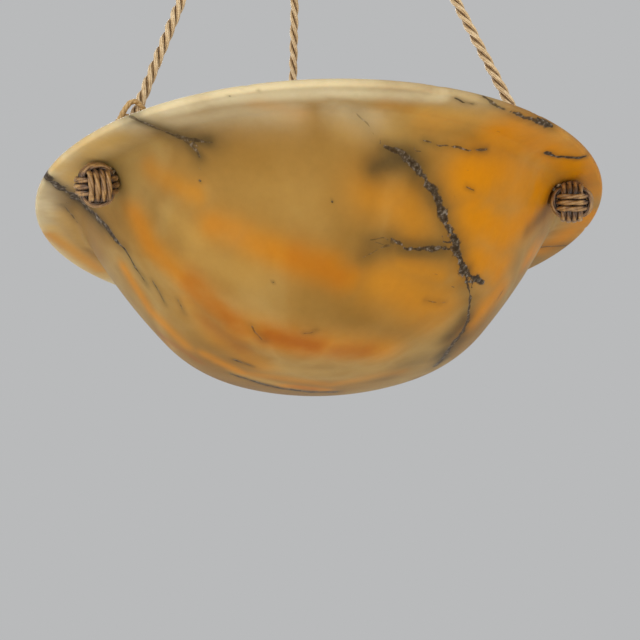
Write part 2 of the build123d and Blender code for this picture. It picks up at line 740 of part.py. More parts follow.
# ---- Lamp ------------------------------------------------------------------------------------------------
tip_low = well_low + CONTACT_T + BORE_GAP
insulator_low = tip_low + TIP_CONTACT_T
cap_low = insulator_low + INSULATOR_H
cap_high = cap_low + BULB_CAP_H
globe_z = cap_high + sqrt(BULB_R**2 - BULB_NECK_R**2) + BULB_NECK_H
glass_inner = BULB_R - BULB_T
neck_low = cap_low + BULB_CAP_H / 2

with BuildPart() as bulb_tip:
    with BuildSketch(Plane.XY.offset(tip_low)):
        Circle(TIP_CONTACT_R)
    extrude(amount=TIP_CONTACT_T)
finish(bulb_tip.part, "bulb_tip")

with BuildPart() as insulator:
    with BuildSketch(Plane.XY.offset(insulator_low)):
        Circle(TIP_CONTACT_R + 1)
    with BuildSketch(Plane.XY.offset(cap_low)):
        Circle(BULB_CAP_R - 2)
    loft()
finish(insulator.part, "bulb_insulator")

with BuildPart() as bulb_cap:
    with BuildSketch(Plane.XY.offset(cap_low)):
        Circle(BULB_CAP_R)
    extrude(amount=BULB_CAP_H)
    offset(amount=-BULB_CAP_T, openings=bulb_cap.faces().sort_by(Axis.Z)[-1])
finish(bulb_cap.part, "bulb_cap")

with BuildPart() as bulb_glass:
    with Locations((0, 0, globe_z)):
        Sphere(BULB_R)
    with BuildSketch(Plane.XY.offset(neck_low)):
        Circle(BULB_NECK_R)
    extrude(amount=globe_z - neck_low)
    with Locations((0, 0, globe_z)):
        Sphere(glass_inner, mode=Mode.SUBTRACT)
    with BuildSketch(Plane.XY.offset(neck_low)):
        Circle(BULB_NECK_R - BULB_T)
    extrude(amount=globe_z - neck_low, mode=Mode.SUBTRACT)
finish(bulb_glass.part, "bulb_glass")

stem_low = cap_low + BULB_CAP_T
with BuildPart() as stem:
    with BuildSketch(Plane.XY.offset(stem_low)):
        Circle(STEM_R)
    extrude(amount=neck_low - stem_low + STEM_H)
    fillet(stem.edges().filter_by(GeomType.CIRCLE).group_by(Axis.Z)[-1], STEM_R - 1)
finish(stem.part, "bulb_stem")

filament_z = neck_low + STEM_H + FILAMENT_D / 2
with BuildPart() as filament:
    with BuildSketch(Plane.XZ):
        with Locations((STEM_R + FILAMENT_OUT, filament_z)):
            Circle(FILAMENT_D / 2)
    revolve(axis=Axis.Z)
    with BuildSketch(Plane.YZ.offset(-STEM_R - FILAMENT_OUT)):
        with Locations((0, filament_z)):
            Circle(FILAMENT_D / 2)
    extrude(amount=2 * (STEM_R + FILAMENT_OUT))
finish(filament.part, "bulb_filament")
print("lamp top above the brim", round(globe_z + BULB_R - RIM_Z, 1))
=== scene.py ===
# %% [markdown]
# # An alabaster bowl on three silk ropes
#
# The object is a shallow bowl, turned and carved from one block of honey alabaster, hung by three
# twisted silk ropes from a hook in the ceiling. The working parts come from the CAD frame: this
# lesson dresses them, and makes what looks soft or natural as meshes of its own.
#
# Everything is in metres, in the frame of the CAD model: the origin is on the ceiling.

# %% Load the frame
import json
import math

import bmesh
import bpy
import numpy as np
from mathutils import Matrix, Vector, noise
from mathutils.bvhtree import BVHTree


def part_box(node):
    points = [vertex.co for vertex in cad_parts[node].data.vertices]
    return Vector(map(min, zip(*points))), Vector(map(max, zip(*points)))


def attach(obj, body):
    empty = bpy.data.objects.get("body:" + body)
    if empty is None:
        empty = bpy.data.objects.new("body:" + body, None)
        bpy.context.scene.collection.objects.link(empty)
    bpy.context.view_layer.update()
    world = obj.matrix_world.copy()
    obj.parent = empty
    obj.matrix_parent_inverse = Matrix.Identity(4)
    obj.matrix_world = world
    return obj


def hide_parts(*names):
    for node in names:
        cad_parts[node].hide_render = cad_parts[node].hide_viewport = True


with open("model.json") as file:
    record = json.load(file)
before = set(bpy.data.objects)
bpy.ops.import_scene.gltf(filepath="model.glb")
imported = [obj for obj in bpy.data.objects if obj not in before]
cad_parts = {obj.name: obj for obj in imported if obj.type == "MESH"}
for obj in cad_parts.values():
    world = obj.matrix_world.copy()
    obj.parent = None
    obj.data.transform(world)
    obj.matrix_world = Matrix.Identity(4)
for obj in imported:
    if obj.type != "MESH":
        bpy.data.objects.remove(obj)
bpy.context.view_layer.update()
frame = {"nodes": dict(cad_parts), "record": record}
MM = 0.001


def add_object(name, data):
    """Put an object in the scene."""
    item = bpy.data.objects.new(name, data)
    bpy.context.collection.objects.link(item)
    return item


# %% [markdown]
# ## Sizes that the pieces share
#
# The brim's top face and its radius are read from the frame, so the stone, the ropes and the
# camera all hang on the same two numbers. The three ropes stand 120 degrees apart.

# %% Shared sizes
bowl_low, bowl_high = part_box("alabaster_bowl")
RIM_Z = bowl_high[2]
RIM_R = (bowl_high[0] - bowl_low[0]) / 2
ROPE_SIDES = {"left": 220.0, "back": 100.0, "right": 340.0}
print("brim at", round(RIM_Z, 4), "radius", round(RIM_R, 4))


def outward(azimuth, r, z):
    """The point at radius r on the side of an azimuth, at height z above the brim."""
    a = math.radians(azimuth)
    return Vector((r * math.cos(a), r * math.sin(a), RIM_Z + z))


# %% [markdown]
# ## The camera
#
# The picture was taken from a little below the bowl, with the camera tipped up. A camera could be
# moved by eye until it fits, but the brim's outline says where it stood: a circle shows as an
# ellipse, whose width gives the distance, whose flatness gives the tilt and whose sloping long
# axis gives the roll.

# %% What the picture gives
PICTURE_PX = 640
FOCAL_PX = 1096.2          # focal length in pixels of that picture
SENSOR_W = 36.0            # the sensor's width in mm
CLIP_START = 0.01
DISTANCE = 4.0 * RIM_R     # from the brim's centre
BELOW = math.radians(23.226)
ROLL = math.radians(-2.099)
RIM_CENTRE_PX = (319.5, 220.5)


def camera_axes(pitch, yaw):
    """Right, down and forward of an unrolled camera."""
    forward = Vector(
        (math.sin(yaw) * math.cos(pitch), math.cos(yaw) * math.cos(pitch), math.sin(pitch))
    )
    right = Vector((math.cos(yaw), -math.sin(yaw), 0))
    return right, forward.cross(right), forward


eye = DISTANCE * Vector((0, -math.cos(BELOW), -math.sin(BELOW))) + Vector((0, 0, RIM_Z))
print("camera at", [round(v, 3) for v in eye])

# %% Camera
off_x, off_y = ((v - PICTURE_PX / 2) / FOCAL_PX for v in RIM_CENTRE_PX)
seen = Vector(
    (
        math.cos(ROLL) * off_x + math.sin(ROLL) * off_y,
        -math.sin(ROLL) * off_x + math.cos(ROLL) * off_y,
        1,
    )
).normalized()
pitch = math.asin(math.sin(BELOW) / math.hypot(seen.y, seen.z)) + math.atan2(seen.y, seen.z)
right, down, forward = camera_axes(pitch, 0)
flat = seen.x * right + seen.y * down + seen.z * forward
right, down, forward = camera_axes(pitch, -math.atan2(flat.x, flat.y))
image_right = math.cos(ROLL) * right - math.sin(ROLL) * down
image_down = math.sin(ROLL) * right + math.cos(ROLL) * down

camera_data = bpy.data.cameras.new("camera")
camera_data.sensor_width = SENSOR_W
camera_data.lens = FOCAL_PX / PICTURE_PX * SENSOR_W
camera_data.clip_start = CLIP_START
camera = add_object("camera", camera_data)
turn = Matrix((image_right, -image_down, -forward)).transposed()
camera.matrix_world = Matrix.Translation(eye) @ turn.to_4x4()
bpy.context.scene.camera = camera
print("lens", round(camera_data.lens, 2), "pitch", round(math.degrees(pitch), 2))


def ray(px, py):
    """The direction in which a pixel of the picture looks."""
    x = (px - PICTURE_PX / 2) / FOCAL_PX
    y = (py - PICTURE_PX / 2) / FOCAL_PX
    return (forward + x * image_right + y * image_down).normalized()


# %% [markdown]
# ## Colours and nodes
#
# Colours are written as the hex values that a paint chart or a screen shows. The shader works in
# linear light, so one function turns them. Nodes could be wired one line at a time. Here one
# function sets a node's inputs or links them, and another adds a node with its settings, so a
# material reads as a list of steps.

# %% Helpers for materials
MATH, NOISE = "ShaderNodeMath", "ShaderNodeTexNoise"


def colour(code):
    """A hex colour as linear RGBA."""
    parts = [int(code[i : i + 2], 16) / 255 for i in (0, 2, 4)]
    linear = [v / 12.92 if v <= 0.04045 else ((v + 0.055) / 1.055) ** 2.4 for v in parts]
    return (*linear, 1.0)


def feed(tree, node, inputs):
    """Set a node's inputs, by name or in their order.

    Each is a value, an output, or a node, which stands for its first live output.
    """
    for key, value in inputs.items() if isinstance(inputs, dict) else enumerate(inputs):
        if isinstance(value, bpy.types.Node):
            value = next(socket for socket in value.outputs if socket.enabled)
        if isinstance(value, bpy.types.NodeSocket):
            tree.links.new(value, node.inputs[key])
        else:
            node.inputs[key].default_value = value


def add_node(tree, kind, inputs=None, **settings):
    """Add one node with its settings and its inputs."""
    node = tree.nodes.new(kind)
    for name, value in settings.items():
        setattr(node, name, value)
    feed(tree, node, inputs or {})
    return node


def new_material(name):
    """A new material, its tree and its main shader."""
    material = bpy.data.materials.new(name)
    material.use_nodes = True
    tree = material.node_tree
    return material, tree, tree.nodes["Principled BSDF"]


def fill_ramp(ramp, stops):
    """Give a colour ramp its stops, each a place and a hex colour."""
    elements = ramp.color_ramp.elements
    while len(elements) < len(stops):
        elements.new(0.5)
    for element, (spot, code) in zip(elements, stops):
        element.position = spot
        element.color = colour(code)


print("mid grey 808080 is", round(colour("808080")[0], 3), "in linear light")

# %% [markdown]
# ## Ropes
#
# Each rope is a silk cord of three strands, and each strand is six finer gimp cords. It is taut,
# so it could be a straight tube, but it bends where it leaves its bore. Its route has only its
# ends, the bend and a point either side that keeps the bend short, and is one smooth NURBS line.

# %% Rope routes
ROPE_TOP = (9.0 * MM, 517.5 * MM)
ROPE_FOOT = (187.0 * MM, 0.0)
KNOT_AT = (202.0 * MM, -22.5 * MM)
KNOT_REACH = 15.7 * MM
EASE = 48.0 * MM           # straight stretch kept up to the bend, about six diameters
ROUTE_ORDER = 3            # a quadratic line, which bends only near its points
ROUTE_FINENESS = 24        # steps between two points of a route


def between(a, b, share):
    """The point of a section that lies at a share of the way from a to b."""
    return (a[0] + (b[0] - a[0]) * share, a[1] + (b[1] - a[1]) * share)


rope_run = math.dist(ROPE_TOP, ROPE_FOOT)
foot_run = math.dist(ROPE_FOOT, KNOT_AT)
ROPE_POINTS = [
    ROPE_TOP,
    between(ROPE_FOOT, ROPE_TOP, 1 - EASE / rope_run),
    between(ROPE_FOOT, ROPE_TOP, EASE / rope_run),
    ROPE_FOOT,
    between(ROPE_FOOT, KNOT_AT, 1 - KNOT_REACH / foot_run),
]


def line_object(name, kind, lines):
    """One curve object with a spline of one kind for each list of points."""
    data = bpy.data.curves.new(name, "CURVE")
    data.dimensions = "3D"
    for line in lines:
        spline = data.splines.new(kind)
        spline.points.add(len(line) - 1)
        for control, point in zip(spline.points, line):
            control.co = (*point, 1)
    return add_object(name, data)


def smooth_route(name, points):
    """One open NURBS line through the air, with the given points as its control points."""
    item = line_object(name, "NURBS", [points])
    spline = item.data.splines[0]
    spline.order_u = ROUTE_ORDER
    spline.use_endpoint_u = True
    spline.resolution_u = ROUTE_FINENESS
    return item


def as_mesh(item):
    """The mesh of an object as its modifiers leave it."""
    bpy.context.view_layer.update()
    return bpy.data.meshes.new_from_object(
        item.evaluated_get(bpy.context.evaluated_depsgraph_get())
    )


rope_routes = {}
for side, azimuth in ROPE_SIDES.items():
    controls = [outward(azimuth, r, z) for r, z in ROPE_POINTS]
    rope_routes[side] = smooth_route(f"route_{side}", controls)
print("rope run", round(rope_run, 4), "foot run", round(foot_run, 4))

# %% [markdown]
# ## A tree that lays rope
#
# A laid cord could be a screw modifier on a circle, or a picture of one on a tube. Rope making is
# a rule, so Geometry Nodes fit it: the route is copied once for each strand, each copy is swung
# round the route as it goes, and the same step is done again for the gimp cords in each strand. A
# small circle is then drawn along every line. Ropes, hitches and ball knots all come from this
# tree, with other counts.

# %% One step of the laying
def twist_step(tree, line, count, radius, lay, share):
    """Copy a line count times and wind the copies round it, one turn in each lay length."""
    copies = add_node(
        tree, "GeometryNodeDuplicateElements", {"Geometry": line, "Amount": count}, domain="SPLINE"
    )
    run = add_node(tree, "GeometryNodeSplineParameter").outputs["Length"]
    turns = add_node(tree, MATH, [run, lay], operation="DIVIDE")
    index = copies.outputs["Duplicate Index"]
    phase = add_node(tree, MATH, [index, count], operation="DIVIDE")
    kept = add_node(tree, "GeometryNodeCaptureAttribute", {"Geometry": copies}, domain="CURVE")
    kept.capture_items.new("FLOAT", "phase")
    feed(tree, kept, {1: phase})
    both = add_node(tree, MATH, [turns, kept.outputs[1]])
    shifted = add_node(tree, MATH, [both, share])
    angle = add_node(tree, MATH, [shifted, 2 * math.pi], operation="MULTIPLY")
    normal = add_node(tree, "GeometryNodeInputNormal")
    tangent = add_node(tree, "GeometryNodeInputTangent")
    swung = add_node(
        tree, "ShaderNodeVectorRotate", {"Vector": normal, "Axis": tangent, "Angle": angle}
    )
    moved = add_node(tree, "ShaderNodeVectorMath", {0: swung, "Scale": radius}, operation="SCALE")
    return add_node(tree, "GeometryNodeSetPosition", {"Geometry": kept, "Offset": moved})


# %% Rope-laying tree
LAYING_INPUTS = {
    "Strands": "Int",
    "Strand offset": "Float",
    "Strand lay": "Float",
    "Gimps": "Int",
    "Gimp offset": "Float",
    "Gimp lay": "Float",
    "Gimp radius": "Float",
    "Step": "Float",
    "Sides": "Int",
    "Start": "Float",
    "Material": "Material",
}


def rope_tree():
    """Geometry Nodes tree that turns a line into a laid rope."""
    tree = bpy.data.node_groups.new("lay_rope", "GeometryNodeTree")
    face = tree.interface
    face.new_socket("Geometry", in_out="INPUT", socket_type="NodeSocketGeometry")
    for name, kind in LAYING_INPUTS.items():
        face.new_socket(name, in_out="INPUT", socket_type=f"NodeSocket{kind}")
    face.new_socket("Geometry", in_out="OUTPUT", socket_type="NodeSocketGeometry")
    given = add_node(tree, "NodeGroupInput").outputs
    line = add_node(
        tree,
        "GeometryNodeResampleCurve",
        {"Curve": given["Geometry"], "Length": given["Step"]},
        mode="LENGTH",
    )
    for cord in ("Strand", "Gimp"):
        count, offset, lay = (given[f"{cord}{word}"] for word in ("s", " offset", " lay"))
        line = twist_step(tree, line, count, offset, lay, given["Start"])
    along = add_node(tree, "GeometryNodeSplineParameter").outputs["Length"]
    marked = add_node(
        tree,
        "GeometryNodeStoreNamedAttribute",
        {"Geometry": line, "Name": "along", "Value": along},
        domain="POINT",
        data_type="FLOAT",
    )
    circle = add_node(
        tree,
        "GeometryNodeCurvePrimitiveCircle",
        {"Resolution": given["Sides"], "Radius": given["Gimp radius"]},
    )
    tube = add_node(
        tree,
        "GeometryNodeCurveToMesh",
        {"Curve": marked, "Profile Curve": circle, "Fill Caps": True},
    )
    smooth = add_node(tree, "GeometryNodeSetShadeSmooth", {"Geometry": tube, "Shade Smooth": True})
    real = add_node(tree, "GeometryNodeRealizeInstances", {"Geometry": smooth})
    finished = add_node(
        tree, "GeometryNodeSetMaterial", {"Geometry": real, "Material": given["Material"]}
    )
    add_node(tree, "NodeGroupOutput", {"Geometry": finished})
    return tree


laying_tree = rope_tree()
print("laying tree with", len(laying_tree.nodes), "nodes")

# %% Lay a cord on a route
# a strand that is one plain cord
PLAIN_STRAND = {"Gimps": 1, "Gimp offset": 0.0, "Gimp lay": 1.0}


def lay_rope(name, route, silk, sizes, start=0.0):
    """Run the tree on a route and return the result as a plain mesh object."""
    modifier = route.modifiers.new("lay", "NODES")
    modifier.node_group = laying_tree
    entries = laying_tree.interface.items_tree
    sockets = {s.name: s.identifier for s in entries if s.in_out == "INPUT"}
    for label, value in {**sizes, "Start": start, "Material": silk}.items():
        modifier[sockets[label]] = value
    mesh = as_mesh(route)
    mesh.name = name
    bpy.data.objects.remove(route)
    print(name, "faces", len(mesh.polygons))
    return add_object(name, mesh)


# %% [markdown]
# ## The three silk ropes
#
# A silk rope of this kind is about 8 mm thick and its strands make one turn in 45 mm. Each strand
# is a ring of six gimp cords, 1.3 mm thick, that wind the same way. The silk could be a plain
# colour, but gimp is thread wound round a core, so its fine ribs break up the light: they are
# bumps, and each is painted lighter on its crown and darker in its hollow, as painted light and
# shade. The grooves between the strands are darkened by how deep they lie, as painted shade.

# %% Silk for the ropes
PATCH_SCALE = 260.0        # worn and clean patches, about 4 mm across
PATCH_RISE, PATCH_BASE = 0.5, 0.25
# the ribs' tone: painted light on their crowns and painted shade in their hollows
RIB_RISE = 0.30            # how much of the tone the ribs take
TONE_STOPS = (0.30, 0.62, 0.95)


def gimp_silk(name, light, middle, dark, rib, sheen=0.25, grooves=0.0, roughness=0.48):
    """Silk gimp: thread wound crosswise round a core, so fine ribs cross each cord.

    The attribute `along` is the distance along a cord in metres, and spaces the ribs, each painted
    lighter on its crown and darker in its hollow: painted light and shade. The attribute `lift` is
    0 in a groove and 1 on a crown, and darkens the grooves with painted shade.
    """
    material, tree, shader = new_material(name)
    along = add_node(tree, "ShaderNodeAttribute", attribute_name="along").outputs["Fac"]
    turns = add_node(tree, MATH, [along, 2 * math.pi / rib], operation="MULTIPLY")
    wave = add_node(tree, MATH, [turns], operation="SINE")
    rise = add_node(tree, MATH, [wave, 0.5, 0.5], operation="MULTIPLY_ADD")
    spot = add_node(tree, "ShaderNodeTexCoord").outputs["Object"]
    patches = add_node(
        tree, NOISE, {"Vector": spot, "Scale": PATCH_SCALE, "Detail": 3.0, "Roughness": 0.6}
    )
    patchy = add_node(tree, MATH, [patches, PATCH_RISE, PATCH_BASE], operation="MULTIPLY_ADD")
    tone = add_node(tree, MATH, [rise, RIB_RISE, patchy], operation="MULTIPLY_ADD")
    if grooves:
        # painted shade in the grooves, from how deep each point lies
        lift = add_node(tree, "ShaderNodeAttribute", attribute_name="lift").outputs["Fac"]
        groove_shade = add_node(tree, MATH, [lift, grooves, -grooves], operation="MULTIPLY_ADD")
        tone = add_node(tree, MATH, [tone, groove_shade])
    shade = add_node(tree, "ShaderNodeValToRGB", {"Fac": tone})
    fill_ramp(shade, list(zip(TONE_STOPS, (dark, middle, light))))
    ribs = add_node(tree, "ShaderNodeBump", {"Strength": 0.5, "Distance": rib / 5, "Height": rise})
    feed(
        tree,
        shader,
        {
            "Base Color": shade,
            "Normal": ribs,
            "Roughness": roughness,
            "Sheen Weight": sheen,
            "Sheen Roughness": 0.4,
        },
    )
    return material


# Pale gold silk, wound over a cotton core and laid in three strands: soft, with fine ribs.
rope_silk = gimp_silk(
    "silk_gimp_rope_three_strand_laid", "F6E6C6", "D2B280", "6E4A1C", 0.9 * MM, 0.2, 0.4
)
print("made", rope_silk.name)

# %% Sizes of the rope's lay
ROPE_LAY = {
    "Strands": 3,
    "Strand offset": 2.28 * MM,
    "Strand lay": -45.0 * MM,
    "Gimps": 6,
    "Gimp offset": 1.26 * MM,
    "Gimp lay": -90.0 * MM,
    "Gimp radius": 0.66 * MM,
    "Step": 1.4 * MM,
    "Sides": 8,
}
# distance from the rope's line at the bottom of a groove and at the crown of a strand
ROPE_LOW, ROPE_HIGH = 2.0 * MM, 3.7 * MM


def keep_lift(mesh, heights, low, high):
    """Store how high each point stands in a laid surface, from a groove at 0 to a crown at 1."""
    lift = mesh.attributes.new("lift", "FLOAT", "POINT")
    values = np.clip((np.asarray(heights) - low) / (high - low), 0, 1)
    lift.data.foreach_set("value", values.astype(np.float32))


def from_line(mesh, points):
    """The distance of each point of a mesh from a line through the given points."""
    spots = np.array([tuple(v.co) for v in mesh.vertices])
    nearest = np.full(len(spots), np.inf)
    for a, b in zip(points, points[1:]):
        a, b = np.array(a), np.array(b)
        share = np.clip((spots - a) @ (b - a) / ((b - a) @ (b - a)), 0, 1)
        nearest = np.minimum(nearest, np.linalg.norm(spots - a - share[:, None] * (b - a), axis=1))
    return nearest


print("rope lay", ROPE_LAY["Strand lay"], "gimp lay", ROPE_LAY["Gimp lay"])

# %% Lay the ropes
for side, route in rope_routes.items():
    line = as_mesh(route)
    points = [v.co.copy() for v in line.vertices]
    bpy.data.meshes.remove(line)
    start = ROPE_SIDES[side] / 360
    rope = lay_rope(f"silk_rope_{side}", route, rope_silk, ROPE_LAY, start)
    # how deep each point lies in the rope, for painted shade in its grooves
    keep_lift(rope.data, from_line(rope.data, points), ROPE_LOW, ROPE_HIGH)
    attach(rope, "pendant")
    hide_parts(f"rope_{side}")

# %% [markdown]
# ## The bowl's section
#
# The bowl was turned, so it is one section swept round its axis. It could be drawn as a spline,
# but lines and arcs that meet smoothly are what the turner's tool leaves. The outside runs from
# the brim's edge, along the flat underside of the brim, through a tight fold into a long wall,
# round a shoulder and into a shallow base. The inside follows it 10 mm away, up to the lip.

# %% Sizes of the section
EDGE_T = 5.9 * MM
EDGE_ROUND = 2.5 * MM
BRIM_W = 26.7 * MM
BRIM_SLOPE = math.radians(1.85)
FOLD_R = 11.25 * MM
WALL_TOP = math.radians(60.15)
WALL_R = 494.3 * MM
WALL_FOOT = math.radians(48.0)
SHOULDER_R = 101.25 * MM
BASE_ANGLE = math.radians(19.75)
STONE_T = 10.0 * MM
LIP_R = 178.0 * MM
# the lip's rounding, out from its radius and up, in mm
LIP_ROUNDING = [(-0.6, -2.4), (0.4, -1.0), (1.6, -0.25), (3.0, 0.0)]
# spacing of the points, finer where the section turns fast and where it shows
ROUND_STEP, EDGE_STEP, FOLD_STEP = 0.8 * MM, 1.0 * MM, 1.4 * MM
OUTER_STEP, TOP_STEP, INNER_STEP = 2.7 * MM, 3.5 * MM, 6.5 * MM


def run_line(a, b, step):
    """Points from a towards b, without b."""
    count = max(1, round(math.dist(a, b) / step))
    return [between(a, b, i / count) for i in range(count)]


def run_arc(start, facing, radius, turned, step):
    """Points of an arc that leaves start at an angle and turns left, or right if turned < 0."""
    side = 1 if turned > 0 else -1
    centre = (
        start[0] - side * radius * math.sin(facing),
        start[1] + side * radius * math.cos(facing),
    )
    count = max(3, round(abs(turned) * radius / step))
    points = []
    for i in range(count + 1):
        a = facing + turned * i / count - side * math.pi / 2
        points.append((centre[0] + radius * math.cos(a), centre[1] + radius * math.sin(a)))
    return points[:-1], points[-1]


print("stone", STONE_T, "m thick, brim", BRIM_W, "m wide")

# %% Outside of the section
quarter = math.pi / 2
edge_low = (RIM_R, EDGE_ROUND - EDGE_T)
outside, spot = run_arc((RIM_R - EDGE_ROUND, 0), 0, EDGE_ROUND, -quarter, ROUND_STEP)
outside += run_line(spot, edge_low, EDGE_STEP)
arc, spot = run_arc(edge_low, -quarter, EDGE_ROUND, -quarter + BRIM_SLOPE, ROUND_STEP)
outside += arc
spot_in = (RIM_R - BRIM_W, -EDGE_T - BRIM_W * math.tan(BRIM_SLOPE))
outside += run_line(spot, spot_in, OUTER_STEP)
spot = spot_in
for facing, radius, turned, step in (
    (BRIM_SLOPE, FOLD_R, WALL_TOP - BRIM_SLOPE, FOLD_STEP),
    (WALL_TOP, WALL_R, WALL_FOOT - WALL_TOP, OUTER_STEP),
    (WALL_FOOT, SHOULDER_R, BASE_ANGLE - WALL_FOOT, OUTER_STEP),
):
    arc, spot = run_arc(spot, math.pi + facing, radius, turned, step)
    outside += arc
base_r = spot[0] / math.sin(BASE_ANGLE)
base_low = spot[1] + base_r * math.cos(BASE_ANGLE) - base_r
arc, spot = run_arc(spot, math.pi + BASE_ANGLE, base_r, -BASE_ANGLE, OUTER_STEP)
outside += arc
print("outside", len(outside), "points, lowest", round(base_low, 4))

# %% Inside of the section
arc, spot = run_arc((0.0, base_low + STONE_T), 0, base_r - STONE_T, BASE_ANGLE, INNER_STEP)
inside = arc[1:]
arc, foot = run_arc(
    spot, BASE_ANGLE, SHOULDER_R - STONE_T, WALL_FOOT - BASE_ANGLE, INNER_STEP
)
inside += arc
half_turn = math.atan2(-foot[1], LIP_R - foot[0]) - WALL_FOOT
inner_wall_r = math.dist(foot, (LIP_R, 0)) / 2 / abs(math.sin(half_turn))
arc, spot = run_arc(foot, WALL_FOOT, inner_wall_r, 2 * half_turn, INNER_STEP)
inside += arc[:-1] + [(LIP_R + out * MM, up * MM) for out, up in LIP_ROUNDING]
top_face = run_line(inside[-1], (RIM_R - EDGE_ROUND, 0), TOP_STEP)[1:]
print("inside", len(inside), "points, top face", len(top_face))

# %% [markdown]
# ## Sweep the section
#
# A Screw modifier would sweep it too, but the stone was dressed by hand and is a little uneven. So
# each point is swept in the script and moved by slow noise: the brim's edge waves by a fraction of
# a millimetre, and it has a few bruises where it was knocked.

# %% Bruises on the edge
AROUND = 560
WAVE = 0.35 * MM
WAVE_SCALE = 9.0           # waves about 110 mm long
BODY_SHARE = 0.5           # how much of them the rest of the stone has
BRUISE_SCALE = 400.0       # broken grain of about 2.5 mm
EDGE_ZONE = 3.0 * MM       # how far in from the edge a bruise reaches
# where in the picture, reach along the edge in mm, depth in mm
BRUISES = [(438, 90, 7.0, 1.6), (243, 87, 4.0, 1.1), (548, 116, 5.0, 1.2), (120, 108, 4.0, 0.8)]
UNSEEN_BRUISES = 5
rng = np.random.default_rng(7)


def plane_hit(px, py, height):
    """Where a pixel's ray meets the level plane at a height."""
    way = ray(px, py)
    return eye + way * ((height - eye.z) / way.z)


chips = []
for px, py, reach, depth in BRUISES:
    at = plane_hit(px, py, RIM_Z - EDGE_T)
    chips.append((math.atan2(at.y, at.x), reach * MM, depth * MM))
for _ in range(UNSEEN_BRUISES):
    azimuth = rng.uniform(0.1, math.pi - 0.1)
    chips.append((azimuth, rng.uniform(2, 6) * MM, rng.uniform(0.5, 1.3) * MM))
print("bruises", len(chips))


def dressed(point, at_rim):
    """A point of the swept section, moved as handwork and wear moved it."""
    x, y, z = point
    r = math.hypot(x, y)
    push = noise.noise(Vector(point) * WAVE_SCALE) * WAVE
    if not at_rim:
        share = 1 + BODY_SHARE * push / r
        return (x * share, y * share, z)
    for azimuth, reach, depth in chips:
        gap = abs((math.atan2(y, x) - azimuth + math.pi) % (2 * math.pi) - math.pi) * RIM_R
        if gap < reach:
            rough = 0.6 + 0.8 * noise.noise(Vector(point) * BRUISE_SCALE)
            push -= depth * (1 - (gap / reach) ** 2) * rough
    share = 1 + min(push, 0) / r
    return (x * share, y * share, z)


# %% Bowl mesh
rows = outside + inside + top_face
split = len(outside)       # the first row of the inside
verts = []
for r, z in rows:
    for j in range(AROUND):
        a = 2 * math.pi * j / AROUND
        point = (r * math.cos(a), r * math.sin(a), RIM_Z + z)
        verts.append(dressed(point, r > RIM_R - EDGE_ZONE))
faces = []


def ring_of_faces(low, high):
    """Quads between two rows of the sweep."""
    for j in range(AROUND):
        k = (j + 1) % AROUND
        faces.append((low * AROUND + j, low * AROUND + k, high * AROUND + k, high * AROUND + j))


for i in range(len(rows) - 1):
    if i != split - 1:
        ring_of_faces(i, i + 1)
ring_of_faces(len(rows) - 1, 0)
outer_pole, inner_pole = len(verts), len(verts) + 1
verts += [(0, 0, RIM_Z + base_low), (0, 0, RIM_Z + base_low + STONE_T)]
for j in range(AROUND):
    k = (j + 1) % AROUND
    faces.append(((split - 1) * AROUND + j, (split - 1) * AROUND + k, outer_pole))
    faces.append((split * AROUND + k, split * AROUND + j, inner_pole))
bowl_mesh = bpy.data.meshes.new("alabaster_bowl_stone")
bowl_mesh.from_pydata(verts, [], faces)
turning = bmesh.new()
turning.from_mesh(bowl_mesh)
bmesh.ops.recalc_face_normals(turning, faces=turning.faces)
turning.to_mesh(bowl_mesh)
turning.free()
bowl_mesh.shade_smooth()
bowl = add_object("alabaster_bowl_stone", bowl_mesh)
print("bowl rows", len(rows), "faces", len(bowl_mesh.polygons))

# %% [markdown]
# ## Rope holes
#
# Each rope goes through a hole in the brim. A hole could be left out, since the rope fills it, but
# its edge shows from above. It is drilled as in the real stone, by taking a rod away from it.

# %% Bore the three rope holes
HOLE_R = 5.2 * MM
HOLE_AT = 189.0 * MM
DRILL_LENGTH = 60.0 * MM
DRILL_SIDES = 48
drill = bmesh.new()
for azimuth in ROPE_SIDES.values():
    bmesh.ops.create_cone(
        drill,
        cap_ends=True,
        segments=DRILL_SIDES,
        radius1=HOLE_R,
        radius2=HOLE_R,
        depth=DRILL_LENGTH,
        matrix=Matrix.Translation(outward(azimuth, HOLE_AT, 0)),
    )
drill_mesh = bpy.data.meshes.new("drill")
drill.to_mesh(drill_mesh)
drill.free()
drill_item = add_object("drill", drill_mesh)
cut = bowl.modifiers.new("holes", "BOOLEAN")
cut.object = drill_item
cut.operation = "DIFFERENCE"
cut.solver = "EXACT"
bored = as_mesh(bowl)
bowl.modifiers.remove(cut)
bowl.data = bored
bored.shade_smooth()
bpy.data.objects.remove(drill_item)
triangles = sum(len(p.vertices) - 2 for p in bored.polygons)
print("bored bowl faces", len(bored.polygons), "triangles", triangles)
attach(bowl, "pendant")
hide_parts("alabaster_bowl")

# %% [markdown]
# ## Ball knots under the brim
#
# Under the brim each rope ends in a monkey's fist: three bands of cord, each band passing over one
# of its neighbours and under the other. A ball with a bump pattern would look flat at its edge, so
# every turn is modelled: a rounded loop that is far out where it shows and further in where the
# next band crosses it. The same tree lays the cord along all the loops of a knot.

# %% Silk for the knots and hitches
# Darker silk, tightly laid in three strands and worn smooth by handling: a dull gloss, and
# grooves darkened with painted shade.
knot_silk = gimp_silk(
    "silk_cord_knot_tightly_laid", "D8AE6A", "724C22", "241405", 0.7 * MM, 0.06, 0.55, 0.36
)
# Thin silk cord with an even braided face, dyed golden brown: soft, with ribs too fine to count.
hitch_silk = gimp_silk("silk_cord_hitch_smooth_braided", "DDBE86", "B08A50", "6B4318", 0.6 * MM)
print("made", knot_silk.name, "and", hitch_silk.name)

# %% Sizes of the knots
OUTER_LANE = 6.0 * MM
